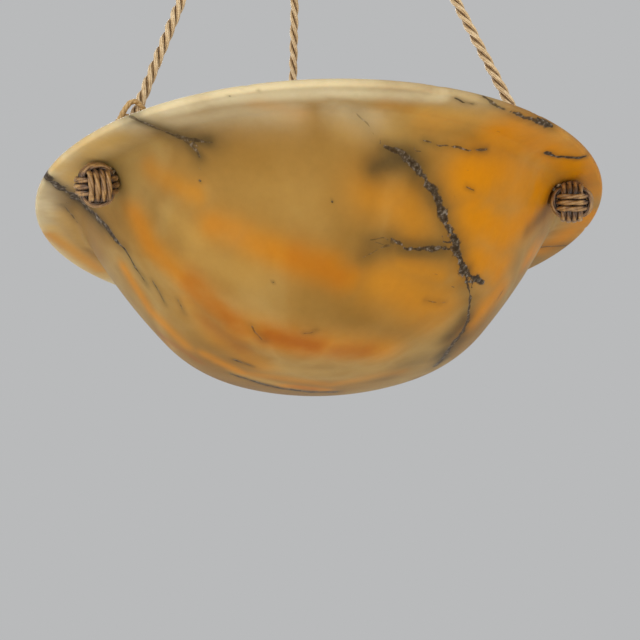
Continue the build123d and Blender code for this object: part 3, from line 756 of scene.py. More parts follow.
# how far each turn of a band lies from the band's middle
KNOT_LANES = {3: (-4.4 * MM, 0.0, 4.4 * MM), 4: (-6.0 * MM, -2.0 * MM, 2.0 * MM, 6.0 * MM)}
LANE_MIDDLE = (12.3 * MM, 2.0 * MM, -0.4 * MM)      # mean radius, swing, squareness of a turn
LANE_EDGE = (11.4 * MM, 2.05 * MM, -0.82 * MM)      # the same in the outer lane
# the way the knot faces, its roll, and the turns in each of its bands
KNOTS = {
    "left": ((0.39, -0.81, -0.50), 12.0, (4, 3, 3)),
    "back": ((0.0, 0.88, -0.42), 0.0, (4, 3, 3)),
    "right": ((-0.20, -0.88, -0.42), 83.0, (3, 3, 4)),
}
LOOP_POINTS = 72
UNEVEN, UNEVEN_SCALE = 0.02, 90.0                   # slack of the hand-wound turns
# distance from the knot's middle at the bottom of a groove and at the crown of a turn
KNOT_LOW, KNOT_HIGH = 12.5 * MM, 15.6 * MM
KNOT_LAY = {
    **PLAIN_STRAND,
    "Strands": 3,
    "Strand offset": 0.88 * MM,
    "Strand lay": -32.0 * MM,
    "Gimp radius": 1.32 * MM,
    "Step": 0.9 * MM,
    "Sides": 10,
}
# each band's axis, and the two directions that its loops turn through
X, Y, Z = Vector((1, 0, 0)), Vector((0, 1, 0)), Vector((0, 0, 1))
BANDS = ((X, Z, Y), (Z, Y, X), (Y, X, Z))


def knot_frame(side):
    """The knot's own axes: z faces outward and down, and x and y are rolled about it."""
    front, roll, _ = KNOTS[side]
    z = Vector(front).normalized()
    x = Z.cross(z).normalized()
    facing = Matrix((x, z.cross(x), z)).transposed()
    return facing @ Matrix.Rotation(math.radians(roll), 3, "Z")


def knot_loops(side, seed):
    """The loops of a knot, each as a closed list of points."""
    centre = outward(ROPE_SIDES[side], *KNOT_AT)
    axes = knot_frame(side)
    loops = []
    for (axis, out, inward), turns in zip(BANDS, KNOTS[side][2]):
        for lane in KNOT_LANES[turns]:
            share = (lane / OUTER_LANE) ** 2
            mean, swing, square = (a + (b - a) * share for a, b in zip(LANE_MIDDLE, LANE_EDGE))
            loop = []
            for i in range(LOOP_POINTS + 1):
                a = math.pi / 2 + 2 * math.pi * i / LOOP_POINTS
                r = mean + swing * math.cos(2 * a) + square * math.cos(4 * a)
                p = r * (math.cos(a) * out + math.sin(a) * inward) + lane * axis
                p *= 1 + UNEVEN * noise.noise(p * UNEVEN_SCALE + Vector((seed, 0, 0)))
                loop.append(centre + axes @ p)
            loops.append(loop)
    return loops


print("turns of cord in each knot", {side: sum(knot[2]) for side, knot in KNOTS.items()})

# %% Knots
for number, side in enumerate(ROPE_SIDES):
    loops = line_object(f"knot_lines_{side}", "POLY", knot_loops(side, 3 * number))
    knot = lay_rope(f"silk_ball_knot_{side}", loops, knot_silk, KNOT_LAY)
    centre = outward(ROPE_SIDES[side], *KNOT_AT)
    heights = [(v.co - centre).length for v in knot.data.vertices]
    # how deep each point lies in the knot, for painted shade in its grooves
    keep_lift(knot.data, heights, KNOT_LOW, KNOT_HIGH)
    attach(knot, "pendant")
    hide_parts(f"knot_{side}")

# %% [markdown]
# ## Hitches round the ropes
#
# A thin cord comes up beside each rope, goes round it once and back down. It could be a ring, but
# its two legs show above the brim, so its route is given point by point beside the leaning rope:
# outward from it, across it, and along it.

# %% Hitches
HITCH_LAY = {
    **PLAIN_STRAND,
    "Strands": 3,
    "Strand offset": 0.8 * MM,
    "Strand lay": -14.0 * MM,
    "Gimp radius": 1.3 * MM,
    "Step": 0.8 * MM,
    "Sides": 12,
}
# in mm: outward, across, along
HITCH_ROUTE = [
    (6.2, -1, 2),
    (8.2, -2, 20),
    (9.5, -1, 37),
    (8.0, 6.25, 49),
    (-6.25, 6.25, 45),
    (-6.25, -6.25, 42),
    (8.5, -6.25, 42),
    (9.0, -6.25, 24),
]
rope_lean = Vector((ROPE_TOP[0] - ROPE_FOOT[0], ROPE_TOP[1])).normalized()
rope_away = Vector((rope_lean.y, -rope_lean.x))


def beside_rope(azimuth, out, across, height):
    """A point beside a rope, at a height above the brim."""
    flat_spot = Vector(ROPE_FOOT) + rope_lean * (height / rope_lean.y) + rope_away * out
    spot = outward(azimuth, *flat_spot)
    return spot + outward(azimuth + 90, across, 0) - Vector((0, 0, RIM_Z))


for side, azimuth in ROPE_SIDES.items():
    controls = [beside_rope(azimuth, *(v * MM for v in p)) for p in HITCH_ROUTE]
    route = smooth_route(f"hitch_line_{side}", controls)
    hitch = lay_rope(f"silk_hitch_{side}", route, hitch_silk, HITCH_LAY)
    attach(hitch, "pendant")
    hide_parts(f"hitch_{side}")

# %% [markdown]
# ## Veins in the stone
#
# Alabaster shows veins of darker minerals where it cracked and healed. They could be painted on an
# unwrapped picture, or drawn by noise alone, but then they would be blurred or in the wrong place.
# Here each vein is a line on the outside of the bowl, placed where the camera sees it. Each point
# of the mesh keeps the vector to the nearest vein, and the shader takes its length: the vector
# changes evenly across a face, so the vein stays sharp even where the mesh is coarse.

# %% Vein lines
# points in the picture, half width at the start and at the end in mm, reach of the soft halo in
# mm, and depth of tone
VEINS = [
    ([(385, 147), (392, 149), (400, 152), (406, 159)], 0.8, 1.8, 6, 0.9),
    ([(406, 159), (418, 170), (424, 178), (432, 190), (437, 200), (443, 212)], 1.8, 2.4, 9, 1.0),
    ([(443, 212), (446, 222), (450, 232), (455, 240), (457, 252)], 2.2, 2.4, 8, 1.0),
    ([(457, 252), (462, 262), (467, 270), (467, 282)], 2.0, 1.4, 7, 1.0),
    ([(462, 271), (470, 276), (476, 279), (483, 283)], 3.2, 1.0, 4, 1.0),
    ([(467, 282), (469, 290), (470, 300), (468, 320), (462, 333)], 0.8, 1.5, 9, 0.9),
    ([(462, 333), (452, 345), (443, 358), (436, 366)], 2.4, 1.4, 12, 0.9),
    ([(457, 252), (440, 247), (430, 249), (420, 249), (405, 248), (392, 239)], 1.6, 0.7, 7, 0.9),
    ([(394, 243), (380, 248), (362, 258)], 0.6, 0.3, 6, 0.5),
    ([(396, 245), (385, 238), (370, 240)], 0.5, 0.3, 6, 0.5),
    ([(424, 140), (440, 146), (455, 147), (470, 150), (487, 149)], 0.5, 0.6, 3, 0.8),
    ([(455, 98), (463, 103), (475, 104)], 0.5, 0.4, 2, 0.9),
    ([(484, 97), (495, 104), (505, 110)], 1.0, 0.7, 4, 0.8),
    ([(513, 113), (525, 118), (538, 121)], 0.8, 1.6, 6, 0.9),
    ([(538, 121), (546, 123), (552, 126)], 2.2, 1.4, 7, 1.0),
    ([(546, 153), (556, 157), (566, 157), (578, 158), (586, 156)], 1.3, 1.1, 4, 1.0),
    ([(355, 112), (365, 122), (375, 135)], 0.4, 0.3, 7, 0.35),
    ([(466, 187), (474, 190)], 0.4, 0.3, 2, 0.7),
    ([(425, 300), (440, 303), (446, 302)], 0.3, 0.3, 3, 0.5),
    ([(497, 300), (503, 290)], 0.7, 0.4, 3, 0.5),
    ([(45, 176), (56, 185), (67, 192), (80, 201)], 3.2, 2.2, 7, 1.0),
    ([(80, 201), (95, 215), (103, 223)], 1.6, 2.4, 9, 1.0),
    ([(103, 223), (110, 232), (125, 250)], 2.2, 0.9, 7, 1.0),
    ([(125, 250), (137, 270), (146, 282)], 0.8, 0.4, 5, 0.8),
    ([(152, 280), (158, 290), (165, 303)], 0.4, 0.5, 3, 0.7),
    ([(62, 205), (70, 212), (77, 222)], 0.4, 0.5, 4, 0.6),
    ([(129, 116), (142, 122), (155, 127), (168, 133), (180, 138)], 0.6, 1.1, 10, 0.7),
    ([(180, 138), (192, 140), (205, 141), (213, 142)], 1.1, 0.5, 10, 0.75),
    ([(176, 135), (184, 140), (190, 145), (196, 150), (200, 158)], 0.9, 0.5, 9, 0.6),
    ([(232, 374), (262, 384), (285, 389), (310, 392), (335, 392)], 1.2, 2.0, 5, 1.0),
    ([(235, 360), (243, 363), (252, 366)], 0.7, 0.3, 3, 0.8),
    ([(251, 326), (256, 333), (263, 340)], 0.4, 0.3, 5, 0.6),
    ([(305, 333), (311, 333), (316, 330)], 0.3, 0.3, 3, 0.5),
    ([(178, 300), (184, 312)], 0.7, 0.4, 4, 0.7),
    ([(199.5, 181), (200.5, 181.5)], 0.6, 0.6, 1, 1.0),
    ([(331.6, 201), (332.4, 201.4)], 0.5, 0.5, 1, 1.0),
    ([(272.6, 282), (273.4, 282.3)], 0.5, 0.5, 1, 1.0),
    ([(229.5, 95.5), (230.5, 96)], 0.5, 0.5, 1, 0.9),
    ([(257.5, 90), (258.5, 90)], 0.5, 0.5, 1, 0.9),
]
print("veins in view", len(VEINS))

# %% Trace the veins on the stone
TRACE_STEP = 2.4           # pixels
WANDER = 1.1 * MM          # how far a crack strays from its line
WANDER_SCALE = 130.0       # it turns about every 8 mm
shell = BVHTree.FromPolygons([Vector(v) for v in verts], faces)


def on_stone(px, py):
    """The point of the stone that a pixel of the picture sees, or None."""
    return shell.ray_cast(eye, ray(px, py))[0]


def traced(points, step):
    """A line in the picture, followed on the stone in small steps."""
    found = []
    for a, b in zip(points, points[1:]):
        count = max(1, round(math.dist(a, b) / step))
        found += [on_stone(*between(a, b, i / count)) for i in range(count)]
    found.append(on_stone(*points[-1]))
    return [hit for hit in found if hit is not None]


def evenly(a, b, count):
    """Values from a to b, one for each point of a line."""
    return [a + (b - a) * i / max(1, count - 1) for i in range(count)]


lines = []                 # each line: points, half widths, halo, tone
for points, first, last, halo, tone in VEINS:
    path = [p + noise.noise_vector(p * WANDER_SCALE) * WANDER for p in traced(points, TRACE_STEP)]
    widths = [w * MM for w in evenly(first, last, len(path))]
    lines.append((path, widths, halo * MM, tone))
print("traced points", sum(len(line[0]) for line in lines))

# %% Veins that the picture doesn't show
# The far side has the same family of cracks, turned round and stirred.
FAR_SIDE = 0.06            # only where y is past this
STIR, STIR_SCALE = 9.0 * MM, 14.0
TURNS = ((137.0, 1), (205.0, -1), (262.0, 1))       # degrees, and -1 where it is mirrored
# A crack goes through the wall, so it shows inside as well, a little fainter.
THROUGH = (-0.045, -0.045, 0.8 * STONE_T)           # inward as a share of x and y, and up
FAINTER = 0.7
unseen = []
for degrees, flip in TURNS:
    move = Matrix.Rotation(math.radians(degrees), 3, "Z") @ Matrix.Diagonal((flip, 1, 1))
    for path, widths, halo, tone in lines[::2]:
        kept_points = []
        for p in path:
            q = move @ p
            swirl = noise.noise_vector(q * STIR_SCALE) * STIR
            near = shell.find_nearest(q + Vector((swirl.x, swirl.y, 0)))[0]
            if near.y > FAR_SIDE:
                kept_points.append(near)
        if len(kept_points) > 3:
            unseen.append((kept_points, widths[: len(kept_points)], halo, tone))
lines += unseen
in_x, in_y, up = THROUGH
for path, widths, halo, tone in list(lines):
    inner = [p + Vector((in_x * p.x, in_y * p.y, up)) for p in path]
    lines.append((inner, widths, halo, FAINTER * tone))
print("veins", len(lines), "points", sum(len(line[0]) for line in lines))

# %% [markdown]
# ## Colour regions of the stone
#
# Besides the veins, the stone has soft regions: a pale band at the thin edge of the brim, partly
# the stone's own colour and partly a painted glow of light through the thin brim; lighter honey,
# partly painted light on the brim's underside and the wall; warm amber where the block is clear;
# rust where iron came in; and smoky brown beside the main crack, with painted shade in the fold
# beside the right knot and over the left of the bowl. Noise would put them anywhere. Here they are
# soft strokes along lines in the picture, each with a reach and a strength, and each kind is kept
# as one number at each point of the mesh.

# %% Strokes of colour
# each stroke: points in the picture, reach in pixels, strength
# smoky brown beside the cracks, and painted shade in the fold beside the right knot and over the
# left of the bowl
SMOKE_AND_SHADE = [
    ([(378, 168), (390, 163), (404, 160)], 15, 0.9),
    ([(404, 160), (416, 172)], 12, 0.72),
    ([(372, 250), (385, 246)], 14, 0.6),
    ([(400, 247), (440, 248)], 9, 0.54),
    ([(452, 335), (463, 322)], 14, 0.84),
    ([(446, 352), (460, 340)], 15, 0.9),
    ([(140, 121), (165, 130), (190, 139), (208, 141)], 6, 0.8),
    ([(185, 140), (200, 156)], 5, 0.7),
    ([(165, 130), (185, 134)], 11, 0.48),
    ([(50, 180), (80, 203), (108, 230)], 6, 0.8),
    ([(60, 195), (85, 212), (100, 230)], 12, 0.36),
    ([(463, 332), (452, 347), (441, 361)], 8, 0.95),
    ([(130, 140), (165, 190)], 20, 0.28),
    ([(145, 195), (165, 225)], 15, 0.22),
    ([(200, 312), (240, 345)], 16, 0.26),
    ([(545, 212), (528, 230)], 9, 0.5),
    ([(385, 378), (420, 360)], 16, 0.36),
]
AMBER = [
    ([(505, 130), (540, 145), (575, 165), (590, 190)], 26, 0.95),
    ([(470, 175), (500, 180), (545, 195)], 30, 0.95),
    ([(475, 215), (505, 235), (530, 215)], 28, 0.95),
    ([(478, 260), (500, 270)], 24, 0.9),
    ([(470, 325), (500, 290)], 18, 0.95),
    ([(530, 255), (560, 240), (590, 215)], 16, 0.9),
    ([(425, 116), (440, 120), (480, 122)], 13, 0.3),
    ([(375, 190), (400, 205), (415, 225)], 24, 0.5),
    ([(385, 280), (420, 300), (440, 310)], 26, 0.55),
    ([(400, 265), (440, 275)], 12, 0.5),
    ([(212, 225), (235, 232)], 14, 0.5),
    ([(250, 240), (290, 258), (330, 268), (348, 278)], 15, 0.58),
    ([(150, 168), (168, 182), (195, 195)], 11, 0.5),
    ([(135, 215), (150, 245), (185, 280), (210, 305), (235, 325)], 14, 0.55),
    ([(240, 330), (300, 345), (380, 350)], 20, 0.7),
    ([(190, 305), (218, 338), (262, 366)], 15, 0.4),
    ([(250, 374), (330, 385), (400, 372)], 9, 0.4),
    ([(205, 355), (240, 372)], 9, 0.7),
    ([(285, 386), (325, 390)], 8, 0.7),
    ([(258, 104), (300, 112)], 9, 0.2),
    ([(385, 105), (410, 110)], 10, 0.3),
    ([(50, 235), (75, 252), (100, 270)], 9, 0.55),
    ([(125, 270), (150, 310), (185, 345)], 10, 0.75),
    ([(100, 345), (170, 345)], 8, 0.3),
]
RUST = [
    ([(192, 284), (212, 305), (238, 327)], 15, 0.62),
    ([(270, 336), (312, 346)], 16, 0.78),
    ([(338, 351), (362, 351)], 13, 0.74),
    ([(262, 334), (275, 340)], 8, 0.4),
    ([(298, 258), (340, 275)], 15, 0.5),
    ([(215, 225), (260, 243), (298, 258)], 13, 0.2),
    ([(135, 215), (150, 245), (180, 275)], 12, 0.2),
    ([(560, 190), (540, 215)], 22, 0.15),
    ([(295, 387), (312, 389)], 8, 0.4),
    ([(160, 335), (200, 362)], 7, 0.48),
    ([(208, 322), (240, 345)], 12, 0.4),
]
# lighter honey: partly the stone's own paler patches, partly painted light on the underside of the
# brim and on parts of the wall
LIGHT = [
    ([(345, 128), (400, 132), (455, 142)], 14, 0.2),
    ([(490, 114), (515, 124)], 9, 0.5),
    ([(175, 222), (195, 240)], 16, 0.35),
    ([(195, 255), (230, 268), (250, 275)], 16, 0.25),
    ([(270, 190), (310, 200)], 26, 0.15),
    ([(270, 368), (330, 374), (400, 370)], 10, 0.2),
    ([(425, 112), (480, 120), (520, 128)], 14, 0.7),
    ([(530, 126), (560, 138)], 10, 0.55),
    ([(58, 168), (82, 162)], 13, 0.7),
    ([(52, 228), (80, 258), (105, 276)], 11, 0.7),
    ([(235, 374), (290, 387)], 8, 0.5),
    ([(72, 178), (90, 148), (120, 138)], 14, 0.8),
    ([(60, 215), (85, 245)], 12, 0.5),
]
# pale band at the brim's edge: partly the stone's own pale colour, partly a painted glow of light
# through the thin brim; the last stroke is a white chip
CREAM_AND_GLOW = [
    ([(55, 165), (100, 128), (160, 106)], 13, 0.8),
    ([(160, 112), (230, 98), (320, 92)], 13, 0.8),
    ([(320, 92), (400, 95), (440, 98)], 10, 0.8),
    ([(170, 122), (230, 112), (290, 108)], 16, 0.45),
    ([(335, 106), (370, 118)], 15, 0.38),
    ([(42, 195), (48, 215)], 12, 0.6),
    ([(434, 89), (446, 91)], 4, 0.6),
]
print("strokes", len(SMOKE_AND_SHADE) + len(AMBER) + len(RUST) + len(LIGHT) + len(CREAM_AND_GLOW))

# %% Vectors to the nearest vein
BLOCK = 2000               # points worked on at a time, to spare memory
LEAST_RUN = 1e-12          # keeps a run of no length from dividing by zero
mesh = bowl.data
places = np.empty(len(mesh.vertices) * 3)
mesh.vertices.foreach_get("co", places)
places = places.reshape(-1, 3)
vein_points = np.array([tuple(p) for path, _, _, _ in lines for p in path])
vein_next = np.array([tuple(p) for path, _, _, _ in lines for p in path[1:] + path[-1:]])
vein_width = np.array([w for _, widths, _, _ in lines for w in widths])
vein_halo = np.array([halo for path, _, halo, _ in lines for _ in path])
vein_tone = np.array([tone for path, _, _, tone in lines for _ in path])
nearest = np.zeros((len(places), 3))
width_here, tone_here, halo_here = np.zeros((3, len(places)))
along = vein_next - vein_points
run = np.maximum((along**2).sum(1), LEAST_RUN)
for start in range(0, len(places), BLOCK):
    now = slice(start, start + BLOCK)
    away = places[now][:, None, :] - vein_points[None, :, :]
    share = np.clip((away * along).sum(2) / run, 0, 1)
    offset = away - share[:, :, None] * along
    gap = np.linalg.norm(offset, axis=2)
    best = (gap - vein_width[None, :]).argmin(1)
    halo_here[now] = (vein_tone * np.exp(-((gap / vein_halo[None, :]) ** 2))).max(1)
    nearest[now] = offset[np.arange(len(best)), best]
    width_here[now] = vein_width[best]
    tone_here[now] = vein_tone[best]
print("points within a vein", int((np.linalg.norm(nearest, axis=1) < width_here).sum()))

# %% Keep the fields on the mesh
# the pale painted glow of light through the thin brim: where it starts, over what width it grows
# and how steeply
GLOW_FROM, GLOW_OVER, GLOW_CURVE = 0.196, 0.030, 1.3
# it fades to the right, where the stone is amber
GLOW_FADE, GLOW_LEAST, GLOW = 0.17, 0.1, 0.8
STROKE_STEP = 0.35         # as a share of the stroke's reach


def strokes(marks):
    """Soft strokes along lines in the picture. Where strokes meet, the stronger one shows."""
    total = np.zeros(len(places))
    for points, reach, strength in marks:
        size = reach * DISTANCE / FOCAL_PX
        for hit in traced(points, STROKE_STEP * reach):
            gap = np.linalg.norm(places - np.array(hit), axis=1)
            total = np.maximum(total, strength * np.exp(-((gap / size) ** 2)))
    return total


def keep_field(name, values, kind="FLOAT"):
    """Store one field on the bowl."""
    kept = mesh.attributes.new(name, kind, "POINT")
    key = "vector" if kind == "FLOAT_VECTOR" else "value"
    kept.data.foreach_set(key, np.asarray(values, dtype=np.float32).ravel())


radius = np.hypot(places[:, 0], places[:, 1])
glow = np.clip((radius - GLOW_FROM) / GLOW_OVER, 0, 1) ** GLOW_CURVE
glow *= np.clip(1.0 - places[:, 0] / GLOW_FADE, GLOW_LEAST, 1)
amber = strokes(AMBER)
keep_field("vein_offset", nearest, "FLOAT_VECTOR")
for name, values in (
    ("vein_width", width_here),
    ("vein_tone", tone_here),
    ("vein_halo", halo_here),
    ("smoke_and_shade", strokes(SMOKE_AND_SHADE)),
    ("amber", amber),
    ("rust", strokes(RUST)),
    ("light", strokes(LIGHT)),
    ("cream_and_glow", np.maximum(strokes(CREAM_AND_GLOW), GLOW * glow * (1 - amber))),
):
    keep_field(name, values)
print("fields kept on", len(places), "points")

# %% [markdown]
# ## Alabaster
#
# The stone is honey alabaster, a soft gypsum rock that lets light in a few millimetres. It could
# be one picture on the surface, but its clouds run through the block, so the noise is read in
# object space and has no seams. It is clouded at three sizes: broad clouds of honey, middle ones
# that break up the strokes, and a fine mottle of crystals.

# %% Clouds of honey
# Honey alabaster, turned on a lathe, rubbed smooth and waxed: a soft, low gloss over deep colour.
BROAD_SCALE = 9.0          # clouds about 110 mm across
MIDDLE_SCALE = 26.0        # about 40 mm
FINE_SCALE = 190.0         # about 5 mm, coarser than real crystals, so that it shows
HONEY_DEEP, HONEY, HONEY_LIGHT = "7B5925", "896731", "967945"
stone, tree, shader = new_material("alabaster_honey_turned_waxed")
spot = add_node(tree, "ShaderNodeTexCoord").outputs["Object"]
broad, middle_cloud, fine = (
    add_node(
        tree,
        NOISE,
        {"Vector": spot, "Scale": scale, "Detail": detail, "Roughness": rough, "Distortion": bend},
    )
    for scale, detail, rough, bend in (
        (BROAD_SCALE, 3.0, 0.5, 0.8),
        (MIDDLE_SCALE, 4.0, 0.5, 0.4),
        (FINE_SCALE, 4.0, 0.65, 0.0),
    )
)
honey = add_node(tree, "ShaderNodeValToRGB", {"Fac": broad})
fill_ramp(honey, [(0.30, HONEY_DEEP), (0.48, HONEY), (0.60, HONEY_LIGHT), (0.75, HONEY_DEEP)])
print("honey clouds", round(1000 / BROAD_SCALE), "mm, mottle", round(1000 / FINE_SCALE, 1), "mm")

# %% Lay the strokes over the honey
# each field's colour, and how much of it shows between the clouds
LAYERS = {
    # pale stone, and the painted glow of light through the thin brim
    "cream_and_glow": ("D0C39E", 0.3),
    # lighter honey, partly painted light
    "light": ("B8924C", 0.3),
    "amber": ("BC7600", 0.25),
    "rust": ("8C4500", 0.2),
    # smoky brown of the stone, and painted shade
    "smoke_and_shade": ("40341E", 0.2),
}
CLOUD_GAIN = 1.4
MOTTLE, MOTTLE_BASE = 0.16, 0.92
body = honey
for name, (code, lean) in LAYERS.items():
    field = add_node(tree, "ShaderNodeAttribute", attribute_name=name).outputs["Fac"]
    clouds = add_node(
        tree, MATH, [middle_cloud, CLOUD_GAIN, lean], operation="MULTIPLY_ADD", use_clamp=True
    )
    amount = add_node(tree, MATH, [field, clouds], operation="MULTIPLY")
    body = add_node(
        tree,
        "ShaderNodeMix",
        {0: amount, 6: body, 7: colour(code)},
        data_type="RGBA",
        clamp_factor=True,
    )
mottle = add_node(tree, MATH, [fine, MOTTLE, MOTTLE_BASE], operation="MULTIPLY_ADD")
mottled = add_node(tree, "ShaderNodeVectorMath", {0: body, "Scale": mottle}, operation="SCALE")
print("layers over the honey", list(LAYERS))

# %% Cores and halos of the veins
# The core is full where the distance is under the width, which swells and thins along the line.
SWELL_SCALE = 120.0        # about 8 mm from one swelling to the next
SWELL_GAIN, SWELL_BASE, SWELL_LEAST = 4.6, -1.3, 0.15
CORE_EDGE, CORE_REACH = -1.6, 2.4
CRYSTAL_SCALE = 330.0      # grains of about 3 mm
VEIN_DARK, VEIN_MIDDLE, VEIN_GREY = "261C12", "43382B", "857C70"
HALO_GAIN, HALO_BASE, HALO_DEPTH = 1.8, -0.25, 0.75
offset, width, tone, halo = (
    add_node(tree, "ShaderNodeAttribute", attribute_name=f"vein_{name}").outputs[output]
    for name, output in (("offset", "Vector"), ("width", "Fac"), ("tone", "Fac"), ("halo", "Fac"))
)
swelling, grains = (
    add_node(tree, NOISE, {"Vector": spot, "Scale": scale, "Detail": detail, "Roughness": 0.6})
    for scale, detail in ((SWELL_SCALE, 3.5), (CRYSTAL_SCALE, 3.0))
)
gap = add_node(tree, "ShaderNodeVectorMath", {0: offset}, operation="LENGTH")
swell = add_node(tree, MATH, [swelling, SWELL_GAIN, SWELL_BASE], operation="MULTIPLY_ADD")
swell = add_node(tree, MATH, [swell, SWELL_LEAST], operation="MAXIMUM")
half = add_node(tree, MATH, [width, swell], operation="MULTIPLY")
ratio = add_node(tree, MATH, [gap, half], operation="DIVIDE")
core = add_node(
    tree, MATH, [ratio, CORE_EDGE, CORE_REACH], operation="MULTIPLY_ADD", use_clamp=True
)
crystal = add_node(tree, "ShaderNodeValToRGB", {"Fac": grains})
fill_ramp(crystal, [(0.36, VEIN_DARK), (0.54, VEIN_MIDDLE), (0.74, VEIN_GREY)])
clouds = add_node(
    tree, MATH, [middle_cloud, HALO_GAIN, HALO_BASE], operation="MULTIPLY_ADD", use_clamp=True
)
stain = add_node(tree, MATH, [halo, clouds], operation="MULTIPLY")
stain = add_node(tree, MATH, [stain, HALO_DEPTH], operation="MULTIPLY")
filling = add_node(tree, MATH, [core, tone], operation="MULTIPLY")
veined = mottled
for amount, tint in ((stain, colour(LAYERS["smoke_and_shade"][0])), (filling, crystal)):
    veined = add_node(
        tree, "ShaderNodeMix", {0: amount, 6: veined, 7: tint}, data_type="RGBA", clamp_factor=True
    )
print("nodes in the stone", len(tree.nodes))

# %% Surface of the stone
# Waxed gypsum reflects less than glass, and its gloss is a little warm. Light goes deepest in red.
FINE_RELIEF, CORE_RELIEF = 0.6, -0.8                # mottle stands up, veins lie a little lower
RELIEF = 0.6 * MM
grain = add_node(tree, MATH, [fine, FINE_RELIEF], operation="MULTIPLY")
groove = add_node(tree, MATH, [core, CORE_RELIEF], operation="MULTIPLY")
relief = add_node(tree, MATH, [grain, groove], operation="ADD")
bump = add_node(tree, "ShaderNodeBump", {"Strength": 0.25, "Distance": RELIEF, "Height": relief})
feed(
    tree,
    shader,
    {
        "Base Color": veined,
        "Normal": bump,
        "Roughness": 0.42,
        "Specular IOR Level": 0.16,
        "Specular Tint": colour("FFD08A"),
        "Subsurface Weight": 0.25,
        "Subsurface Radius": (1.0, 0.55, 0.25),
        "Subsurface Scale": 6.0 * MM,
    },
)
mesh.materials.clear()
mesh.materials.append(stone)
print(stone.name, "on", bowl.name)

# %% [markdown]
# ## The fittings
#
# The fitting's parts are turned, pressed and moulded goods, and the frame already holds them as
# exact shapes. So they keep their CAD shapes and take one material for each slot in the record.
# A flat colour would look like plastic, so the metals have a faint variation in their roughness.

# %% Fitting materials
WEAR_SCALE = 70.0          # patches of wear about 14 mm across


def plain(name, base, roughness, metallic=0.0, grain=0.0, **more):
    """A material of one colour, with a little variation in its roughness."""
    material, tree, shader = new_material(name)
    if grain:
        spot = add_node(tree, "ShaderNodeTexCoord").outputs["Object"]
        wear = add_node(
            tree, NOISE, {"Vector": spot, "Scale": WEAR_SCALE, "Detail": 3.0, "Roughness": 0.6}
        )
        roughness = add_node(
            tree, MATH, [wear, grain, roughness - grain / 2], operation="MULTIPLY_ADD"
        )
    given = {"Base Color": colour(base), "Metallic": metallic, "Roughness": roughness}
    feed(tree, shader, given | {key.replace("_", " "): value for key, value in more.items()})
    return material


FINISHES = {
    # Turned and spun brass, left to go dull: warm and softly bright.
    "brass": plain("brass_turned_aged", "A8844A", 0.34, 1.0, 0.16),
    # Rolled steel with a thin zinc coat: cool and a little streaky.
    "steel": plain("steel_zinc_plated", "A9ABAC", 0.38, 1.0, 0.12),
    # Moulded rubber: matt, nearly black.
    "rubber": plain("rubber_moulded_matt", "242322", 0.78, 0.0, 0.1),
    # Moulded phenolic: satin black.
    "black_plastic": plain("phenolic_moulded_black", "1B1A19", 0.45, 0.0, 0.08),
    # Pressed and fired porcelain, left unglazed: off-white, with a dull sheen.
    "porcelain": plain("porcelain_fired_unglazed", "E9E5DA", 0.5, 0.0, 0.1),
    # Blown glass, acid-frosted inside: milky, with a smooth outside.
    "lamp_glass": plain(
        "glass_blown_frosted", "F2EFE6", 0.28, 0.0, 0.05, Transmission_Weight=0.35
    ),
    # Drawn aluminium of the lamp's screw cap: bright and even.
    "lamp_cap": plain("aluminium_drawn_bright", "C4C5C6", 0.26, 1.0, 0.08),
    # Pressed black glass that insulates the lamp's contact: glossy.
    "lamp_insulator": plain("glass_black_pressed", "121214", 0.2),
    # Tinned contact and tungsten wire: grey and bright.
    "lamp_metal": plain("metal_tinned", "B4B2AC", 0.3, 1.0, 0.1),
    # Turned beech, unvarnished: pale brown and matt.
    "wood_bead": plain("beech_turned_plain", "B08A58", 0.6, 0.0, 0.12),
}
finished = 0
for part in frame["record"]["subparts"]:
    item = frame["nodes"].get(part["node"])
    finish = FINISHES.get(part.get("material_slot"))
    if item is None or finish is None:
        continue
    item.data.materials.clear()
    item.data.materials.append(finish)
    finished += 1
print("finished CAD nodes", finished)

# %% [markdown]
# ## Room and light
#
# The object hangs in a plain studio with a pale floor well below it. One strong lamp would leave
# hard shadows in the folds of the stone, so five soft ones share the work: a broad one from the
# front left, one from behind and above for the brim, weak ones from both sides, and one from low
# in front, since the camera looks up at the bowl. The world gives an even fill.

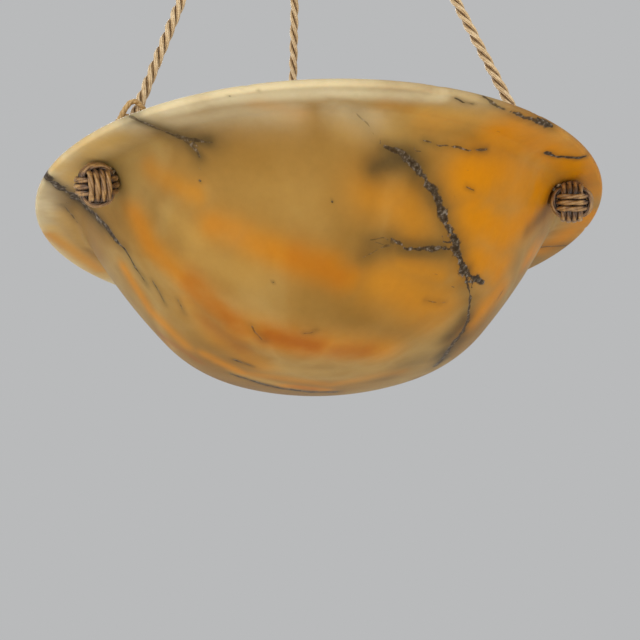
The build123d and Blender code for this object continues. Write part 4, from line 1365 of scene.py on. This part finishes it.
# %% Floor
FLOOR_Z = -1.9
FLOOR_HALF = 400.0         # so wide that its edge lies at the horizon
CORNERS = ((-1, -1), (1, -1), (1, 1), (-1, 1))
floor_mesh = bpy.data.meshes.new("floor")
floor_mesh.from_pydata(
    [(x * FLOOR_HALF, y * FLOOR_HALF, FLOOR_Z) for x, y in CORNERS], [], [(0, 1, 2, 3)]
)
floor = add_object("floor", floor_mesh)
# Painted board, matt and nearly white.
floor_mesh.materials.append(plain("floor_pale_matt", "F0EEEA", 0.9))
print("floor at", FLOOR_Z)

# %% Lamps
# each lamp: place, size in metres, watts
LAMPS = {
    "key": ((-0.9, -1.8, -0.35), 1.2, 20.5),
    "rim": ((-0.3, 1.1, 0.35), 1.0, 16),
    "right": ((1.6, -0.8, -0.7), 1.0, 7),
    "left": ((-1.5, -0.6, -1.3), 1.0, 6),
    "under": ((0.1, -0.9, -1.8), 1.6, 16),
}
middle = Vector((0, 0, RIM_Z))
for name, (spot, size, watts) in LAMPS.items():
    data = bpy.data.lights.new(name, "AREA")
    data.size = size
    data.energy = watts
    item = add_object(name, data)
    item.location = spot
    item.rotation_euler = (middle - Vector(spot)).to_track_quat("-Z", "Y").to_euler()
print("lamps", list(LAMPS))

# %% Backdrop and fill
# The camera, mirrors and glass see a plain grey backdrop, and everything else an even white fill.
BACKDROP, FILL, FILL_STRENGTH = "B9BABB", "FFFFFF", 0.55
world = bpy.data.worlds.new("studio")
bpy.context.scene.world = world
world.use_nodes = True
sky = world.node_tree
sky.nodes.clear()
paths = add_node(sky, "ShaderNodeLightPath").outputs
seen_ray = paths["Is Camera Ray"]
for kind in ("Is Glossy Ray", "Is Transmission Ray"):
    seen_ray = add_node(sky, MATH, [seen_ray, paths[kind]], operation="MAXIMUM")
fill = add_node(sky, "ShaderNodeBackground", {"Color": colour(FILL), "Strength": FILL_STRENGTH})
backdrop = add_node(sky, "ShaderNodeBackground", {"Color": colour(BACKDROP), "Strength": 1.0})
both = add_node(sky, "ShaderNodeMixShader", {0: seen_ray, 1: fill, 2: backdrop})
add_node(sky, "ShaderNodeOutputWorld", {"Surface": both})
bpy.context.scene.view_settings.view_transform = "Standard"
print("backdrop", BACKDROP, "fill", FILL_STRENGTH)
